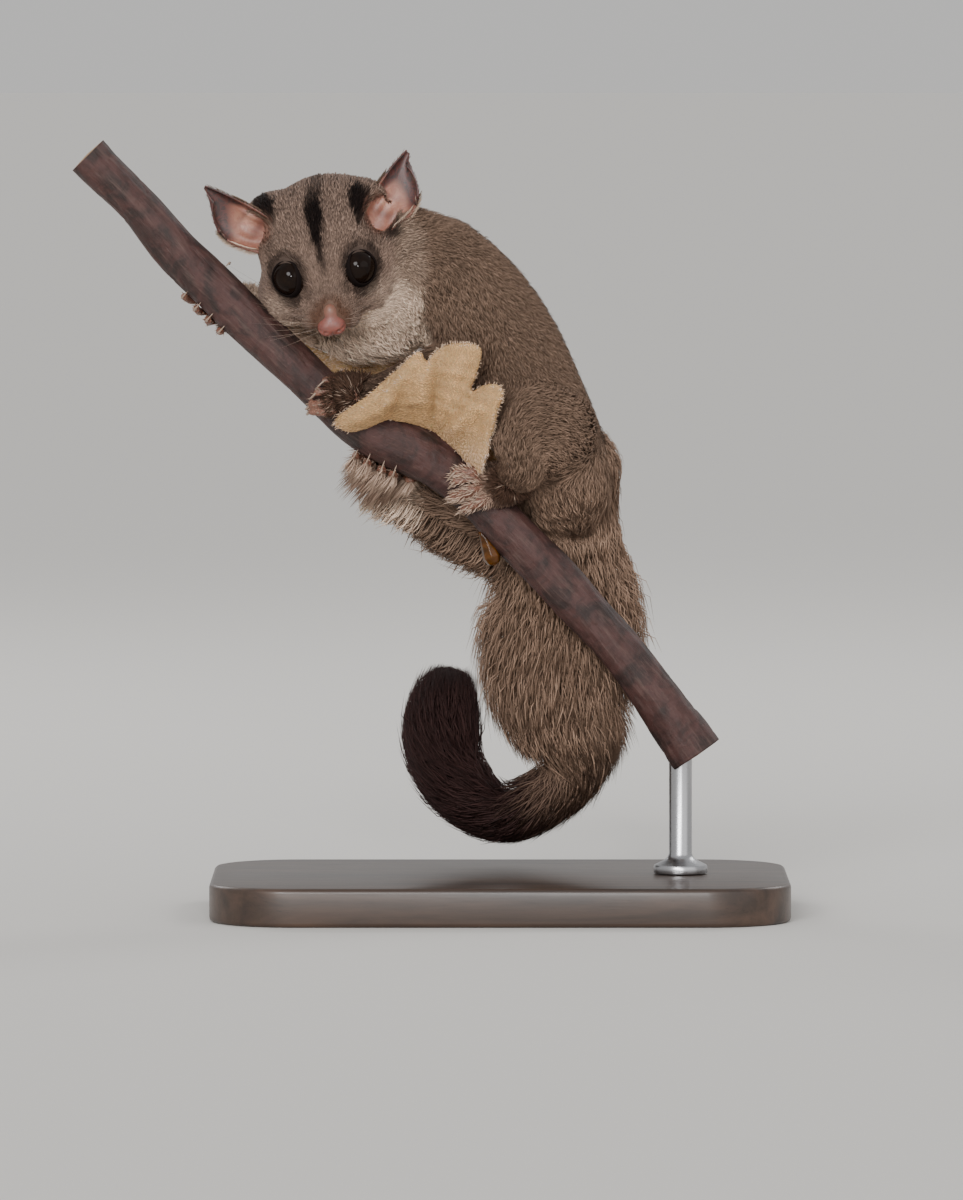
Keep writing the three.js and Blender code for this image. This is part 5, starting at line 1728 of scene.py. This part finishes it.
class GLIDER_OT_paws(Operator):
    """Shapes the gripping hands and feet, with their claws and the hair over them"""

    bl_idname = "glider.paws"
    bl_label = "Hands and feet"

    def execute(self, context):
        look = context.scene.glider_skin
        coat = context.scene.glider_coat
        skin = moist("Paw skin", 0.5, 0.45, 0.2, 1.2)
        place = skin.place()
        crease = skin.grain(place, 2.4, detail=5, rough=0.65, distortion=0.8)
        blotch = skin.grain(place, 0.35, detail=3)
        tone = skin.mix(blotch.between(0.3, 0.7), toned(look.digits, 0.55), tuple(look.digits))
        skin.feed(base_color=skin.mix(crease.between(0.45, 0.75) * 0.5, tone, tint("d0a08a")))
        skin.bump(crease, 0.35, 0.2)
        horn = Finish("Claw horn", roughness=0.3, specular_ior_level=0.5)
        fibre = horn.grain(horn.place(), 1.2)
        horn.feed(base_color=horn.mix(fibre, toned(look.claw, 0.55), tuple(look.claw)))
        hairs = fur_finish("Paw fur")
        for node, claws in CLAWS.items():
            paw = softened(node + "_soft", node, 0.26, 9)
            unwrapped(paw)
            settle(paw, node, slot="bare_skin", finish=skin.material)
            settle(self.claws(node, claws), slot="bare_skin", finish=horn.material)
            settle(self.hair(node, paw, coat, look), slot="coat_dark", finish=hairs)
        return {"FINISHED"}

    def claws(self, node, claws):
        forms = []
        s = np.linspace(0, 1, 14)
        wide = 0.36 * (1 - s) ** 0.6 + 0.04
        for along, degrees, thick, way in claws:
            step = way * math.degrees(CLAW_LENGTH / 7)
            line = []
            for t in s:
                above = thick * (1.35 - 0.35 * t) + 0.5 * math.sin(math.pi * t) - (thick - 0.1) * t**2.2
                line.append(on_perch(along - 0.15 * t, degrees + step * (0.05 + 1.15 * t), above))
            form = tube(np.array(line), wide * 0.75, wide, 10, ends=(0.2, 0.1), across=(0.3, 0.2, 0.9))
            forms.append(form)
        piece = joined("claws_" + node, forms)
        outward(piece)
        return piece

    def hair(self, node, paw, coat, look):
        """Short hair over the wrist or ankle and thinly over the digits, and on the right foot
        long pale hair that hangs from the sole, on from the leg's fringe."""
        sparse, length_there, dark = PAW_HAIR[node]
        foot = node.startswith("foot")
        spots = places(paw)
        wrist = np.array(WRISTS[node])
        dense = smoothstep(10.5, 5.0, np.linalg.norm(spots - wrist, axis=1)) + sparse
        if node == "foot_right":
            dense = dense + 0.5 * smoothstep(0.1, -0.5, directions(paw)[:, 2])
        roots, normals, uv, rng = grown(paw, 2600 if foot else 2000, 51, dense)
        n = len(roots)
        way = unit(roots - wrist + 0.3 * unit(roots - spots.mean(0)))
        way = laid(unit(way + rng.normal(0, 0.2, way.shape)), normals)
        near = np.linalg.norm(roots - wrist, axis=1)
        hair = np.interp(near, [2, 6, 11], [3.6, 2.8, length_there]) * rng.uniform(0.7, 1.2, n)
        if node == "foot_right":
            low = smoothstep(0.3, -0.4, normals[:, 2]) * smoothstep(3, 7, near)
            way = unit(turned(way, FRINGE_WAY, low))
            hair = hair * (1 + 2.6 * low)
        brown = np.full(n, dark) * (smoothstep(9, 4.5, near) if foot else 1)
        shade = mixed(np.array(coat.throat), np.full(n, 0.6 if foot else 0), look.digits)
        shade = mixed(shade, brown, coat.arm)
        pale = (rng.random(n) < 0.05) | (near > 9.5)
        shade = mixed(shade, pale * 0.35, coat.throat) * (1 + rng.normal(0, 0.12, n))[:, None]
        width = rng.uniform(0.24, 0.38, n)
        rows = (roots, normals, way, roots + way * hair[:, None], normals, hair * 0.3, width, shade, uv)
        # The last factors darken each tuft towards its root, as painted shade deep in the coat
        return tufts(node + "_fur", *rows, (0.85, 0.98, 1.08) if foot else (0.65, 0.95, 1.1))


class GLIDER_OT_branch(Operator):
    """Grows the branch with its bark, knot and hanging drop of gum"""

    bl_idname = "glider.branch"
    bl_label = "Branch"

    def execute(self, context):
        look = context.scene.glider_perch
        branch = self.stick()
        outward(branch)
        bark = Finish("Bark", roughness=0.6, specular_ior_level=0.4)
        place = bark.attribute("bark", "Vector")
        streak = bark.stretched(place, (1, 1, 0.12))
        long = bark.grain(streak, 0.9, detail=7, rough=0.65)
        fibre = bark.grain(streak, 4.5, detail=5, rough=0.7)
        blotch = bark.grain(place, 0.16, detail=5, rough=0.6, distortion=0.6)
        pores = bark.grain(bark.stretched(place, (0.35, 0.35, 1.6)), 0.8, detail=6, rough=0.7)
        crack = toned(look.bark_dark, 0.5)
        tone = tuple(look.bark)
        for share, shade in (
            (blotch.between(0.42, 0.62), tuple(look.bark_dark)),
            (long.between(0.52, 0.76) * 0.6, tuple(look.bark_pale)),
            (fibre.between(0.56, 0.7) * 0.4, tuple(look.bark_pale)),
            (fibre.between(0.44, 0.34) * 0.5, crack),
            (pores.between(0.6, 0.72) * 0.5, crack),
        ):
            tone = bark.mix(share, tone, shade)
        inward = bark.attribute("cut", "Fac")
        year = bark.node("ShaderNodeMath", {"operation": "SINE"}, {0: inward * 60 + blotch * 4})[0]
        wood = bark.mix(year * 0.3 + 0.4, tint("8d6c4d"), tint("b99a74"))
        bark.feed(base_color=bark.mix(inward.between(0.07, 0.11), tone, wood))
        bark.feed(roughness=0.34 + long * 0.25 + fibre * 0.2)
        bark.bump(long * 0.6 + fibre * 0.35 + pores * 0.5 + blotch * 0.3, 0.8, 0.55)
        settle(branch, "perch_branch", slot="bark", finish=bark.material)
        self.gum(look)
        return {"FINISHED"}

    def stick(self):
        """The branch's form: slow lumps, fibres and cracks along it, and the knot."""
        rings, sides = ((430, 64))
        t = np.linspace(0, 1, rings)
        centres = curve(PERCH_TABLE[:, :3], t)
        radius = curve(PERCH_TABLE[:, 3:4].repeat(2, 1), t, even=True)[:, 0]
        a = np.linspace(0, 2 * np.pi, sides, endpoint=False)
        lump = 0.28 * (np.sin(23 * t[:, None] + 2 * a) + 0.6 * np.sin(57 * t[:, None] - 3 * a + 1))
        run = run_along(centres)
        for i, s in enumerate(run):
            for j, turn_by in enumerate(a):
                x, y = 2.2 * math.cos(turn_by), 2.2 * math.sin(turn_by)
                ridge = noise.fractal(Vector((x * 1.9, y * 1.9, s * 0.055)), 0.9, 2.1, 4)
                crack = abs(noise.noise(Vector((x * 1.2 + 7, y * 1.2, s * 0.12))))
                lump[i, j] += 0.20 * ridge - 0.22 * max(0.12 - crack, 0) / 0.12
        points, faces = tube(centres, radius, radius, sides, ends=(0.4, 0.4), lump=lump)
        gap = np.linalg.norm(points - on_perch(KNOT_ALONG, 12, 0.2), axis=1)
        knot = 1.5 * hump(gap, 0, 2.2) - 0.5 * hump(gap, 0, 0.8)
        points = points + unit(points - perch_middle(KNOT_ALONG)) * knot[:, None]
        branch = new_piece("branch", points, faces)
        # Places along and round the bark for its pattern, and where the branch is cut
        angle = np.concatenate([np.tile(a, rings), [0, 0]])
        runs = np.concatenate([np.repeat(run, sides), [0, run[-1]]])
        flat = np.stack([6 * np.cos(angle), 6 * np.sin(angle), runs], 1)
        grain = branch.data.attributes.new("bark", "FLOAT_VECTOR", "POINT")
        grain.data.foreach_set("vector", flat.astype(np.float32).ravel())
        cut = branch.data.attributes.new("cut", "FLOAT", "POINT")
        cut.data.foreach_set("value", np.repeat([0, 1], [rings * sides, 2]).astype(np.float32))
        return branch

    def gum(self, look):
        drop = softened("gum_drop", "perch_gum_drop", 0.16, 12, swell=0.15)
        amber = moist("Gum", 0.2, 0.28, 0.15, 2)
        cloud = amber.grain(amber.place(), 0.4, detail=3)
        amber.feed(base_color=amber.mix(cloud.between(0.35, 0.7), toned(look.gum, 0.6), tint("633c12")))
        amber.bump(cloud, 0.2, 0.3)
        settle(drop, "perch_gum_drop", slot="gum", finish=amber.material)


# The foot ring and the rod: radius and height, from the floor of the ring upwards.
ROD_PROFILE = [(6.9, 0), (7, 0.2), (7, 1.7), (6.8, 2.1), (4.2, 3.4), (3.4, 4.1), (3, 5)]
ROD_IN_BRANCH = 4


class GLIDER_OT_stand(Operator):
    """Turns the wooden base and the steel rod"""

    bl_idname = "glider.stand"
    bl_label = "Display stand"

    def execute(self, context):
        look = context.scene.glider_perch
        varnish = {"coat_weight": 0.25, "coat_roughness": 0.2}
        wood = Finish("Stained wood", roughness=0.4, specular_ior_level=0.5, **varnish)
        rings = wood.grain(wood.place((1, 14, 9)), 0.012, detail=9, rough=0.62, distortion=0.6)
        pores = wood.grain(wood.place((0.25, 6, 6)), 0.4, detail=4, rough=0.7)
        tone = wood.mix(rings.between(0.35, 0.68), toned(look.wood, 0.5), toned(look.wood, 1.7))
        wood.feed(base_color=wood.mix(pores.between(0.58, 0.7) * 0.6, tone, toned(look.wood, 0.3)))
        wood.feed(roughness=0.34 + pores * 0.2)
        wood.bump(pores + rings * 0.4, 0.12, 0.12)
        settle(self.base(), "stand_base", slot="stand_wood", finish=wood.material)
        steel = Finish("Brushed steel", metallic=1.0, roughness=0.28, base_color=tuple(look.steel))
        brushed = steel.grain(steel.place((1, 1, 14)), 0.5, detail=5)
        steel.feed(roughness=0.2 + brushed * 0.2)
        steel.bump(brushed, 0.08, 0.05)
        settle(self.rod(), "stand_rod", slot="stand_steel", finish=steel.material)
        return {"FINISHED"}

    def base(self):
        low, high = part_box("stand_base")
        base = added("display_base", bpy.ops.mesh.primitive_cube_add, size=1, location=(low + high) / 2)
        base.scale = high - low
        bpy.ops.object.transform_apply(location=True, rotation=True, scale=True)
        bpy.ops.object.mode_set(mode="EDIT")
        bpy.ops.mesh.select_mode(type="EDGE")
        bpy.ops.mesh.select_all(action="DESELECT")
        bpy.ops.object.mode_set(mode="OBJECT")
        # The four upright edges are rounded widely, and then every sharp edge a little.
        for edge in base.data.edges:
            a, b = (base.data.vertices[i].co for i in edge.vertices)
            edge.select = abs(a.z - b.z) > 0.005
        bpy.ops.object.mode_set(mode="EDIT")
        bpy.ops.mesh.bevel(offset=0.022, offset_type="OFFSET", segments=16, profile=0.5, affect="EDGES")
        bpy.ops.mesh.select_mode(type="VERT")
        bpy.ops.object.mode_set(mode="OBJECT")
        sharp = math.radians(60)
        finished(base, "BEVEL", width=0.0012, segments=4, limit_method="ANGLE", angle_limit=sharp)
        base.data.shade_smooth()
        only(base)
        bpy.ops.object.shade_smooth_by_angle(angle=math.radians(35))
        return base

    def rod(self):
        """The rod with its foot ring, turned from a profile that ends inside the branch."""
        low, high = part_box("stand_rod")
        x = (low.x + high.x) / 2 / MM
        r, up = np.asarray(ROD_PROFILE, float).T
        z = np.concatenate([low.z / MM + up, [high.z / MM + ROD_IN_BRANCH]])
        r = np.concatenate([r, r[-1:]])
        a = np.linspace(0, 2 * np.pi, 64, endpoint=False)
        round_x, round_y = np.outer(r, np.cos(a)), np.outer(r, np.sin(a))
        rings = np.stack([x + round_x, round_y, np.repeat(z[:, None], len(a), 1)], -1).reshape(-1, 3)
        points = np.vstack([rings, [x, 0, z[0]], [x, 0, z[-1]]])
        rod = new_piece("display_rod", points, ring_faces(len(r), len(a)))
        outward(rod)
        only(rod)
        bpy.ops.object.shade_smooth_by_angle(angle=math.radians(30))
        return rod


# The middle of the picture in metres, and how many degrees the camera looks down on it
PICTURE_MIDDLE = Vector((-0.0048, 0, 0.0814))
CAMERA_LIFT = 3


class GLIDER_OT_stage(Operator):
    """Sets up the floor, the studio light and the camera"""

    bl_idname = "glider.stage"
    bl_label = "Studio"

    def execute(self, context):
        look = context.scene.glider_stage
        self.floor(look)
        self.sky(context.scene)
        self.lamps(context.scene)
        self.camera(context.scene, look)
        return {"FINISHED"}

    def floor(self, look):
        disc = bpy.ops.mesh.primitive_circle_add
        floor = added("floor", disc, vertices=96, radius=60, fill_type="NGON")
        paint = Finish("Studio floor", roughness=0.85, specular_ior_level=0.2)
        cloud = paint.grain(paint.place(), 0.01, detail=3) * 0.06
        paint.feed(base_color=paint.mix(cloud, tuple(look.floor), toned(look.floor, 0.9)))
        floor.data.materials.append(paint.material)

    def sky(self, scene):
        """A plain pale sky, warmer below and cooler above."""
        world = bpy.data.worlds.new("Studio")
        scene.world = world
        world.use_nodes = True
        nodes, links = world.node_tree.nodes, world.node_tree.links
        height = nodes.new("ShaderNodeSeparateXYZ")
        links.new(nodes.new("ShaderNodeTexCoord").outputs["Generated"], height.inputs[0])
        ramp = nodes.new("ShaderNodeValToRGB")
        ramp.color_ramp.elements[0].color = (0.815, 0.808, 0.796, 1)
        ramp.color_ramp.elements[1].color = (0.80, 0.81, 0.83, 1)
        links.new(height.outputs["Z"], ramp.inputs[0])
        links.new(ramp.outputs[0], nodes["Background"].inputs["Color"])
        nodes["Background"].inputs["Strength"].default_value = 0.74

    def lamps(self, scene):
        """Name, kind, place in metres, size and power of each lamp; a sun's size is its angle."""
        aim = PICTURE_MIDDLE + Vector((0, 0, 0.05))
        for name, kind, place, size, power in (
            ("Key", "SUN", (-0.45, -1.7, 0.8), math.radians(24), 2.4),
            ("Fill", "SUN", (1.5, -1.6, 0.5), math.radians(50), 0.5),
            ("Catchlight", "AREA", (0.12, -2.4, 0.42), 0.11, 12),
            ("Rim left", "AREA", (-0.8, 1.0, 0.8), 0.5, 4),
            ("Rim right", "AREA", (0.9, 0.9, 0.9), 0.5, 4.5),
        ):
            lamp = bpy.data.lights.new(name, kind)
            lamp.energy = power
            setattr(lamp, "angle" if kind == "SUN" else "size", size)
            self.held(scene, name, lamp, Vector(place), aim)

    def camera(self, scene, look):
        lens = bpy.data.cameras.new("Camera")
        lens.sensor_fit = "VERTICAL"
        lens.sensor_height = 36
        lens.lens = look.lens
        lens.clip_end = 200
        lift = math.radians(CAMERA_LIFT)
        place = PICTURE_MIDDLE + Vector((0, -math.cos(lift), math.sin(lift))) * look.distance
        scene.camera = self.held(scene, "Camera", lens, place, PICTURE_MIDDLE)

    def held(self, scene, name, data, place, aim):
        """A lamp or camera at its place, turned to what it is aimed at."""
        holder = bpy.data.objects.new(name, data)
        holder.location = place
        holder.rotation_euler = (aim - place).to_track_quat("-Z", "Y").to_euler()
        scene.collection.objects.link(holder)
        return holder


class GLIDER_PT_panel(Panel):
    """Shows a button for each step, and every setting"""

    bl_label = "Sugar glider"
    bl_idname = "GLIDER_PT_panel"
    bl_space_type = "VIEW_3D"
    bl_region_type = "UI"
    bl_category = "Glider"

    def draw(self, context):
        for operator in OPERATORS:
            self.layout.operator(operator.bl_idname)
        for name in SETTINGS:
            group = getattr(context.scene, name)
            box = self.layout.box()
            for key in group.__annotations__:
                box.prop(group, key)


OPERATORS = [
    GLIDER_OT_skin,
    GLIDER_OT_coat,
    GLIDER_OT_eyes,
    GLIDER_OT_nose,
    GLIDER_OT_ears,
    GLIDER_OT_membranes,
    GLIDER_OT_paws,
    GLIDER_OT_branch,
    GLIDER_OT_stand,
    GLIDER_OT_stage,
]
SETTINGS = {
    "glider_coat": GliderCoat,
    "glider_skin": GliderSkin,
    "glider_perch": GliderPerch,
    "glider_stage": GliderStage,
}


def register():
    for item in (*SETTINGS.values(), *OPERATORS, GLIDER_PT_panel):
        bpy.utils.register_class(item)
    for name, group in SETTINGS.items():
        setattr(bpy.types.Scene, name, PointerProperty(type=group))


def unregister():
    for name in SETTINGS:
        delattr(bpy.types.Scene, name)
    for item in (GLIDER_PT_panel, *reversed(OPERATORS), *reversed(SETTINGS.values())):
        bpy.utils.unregister_class(item)


def main():
    register()
    for operator in OPERATORS:
        group, name = operator.bl_idname.split(".")
        getattr(getattr(bpy.ops, group), name)()


if __name__ == "__main__":
    main()
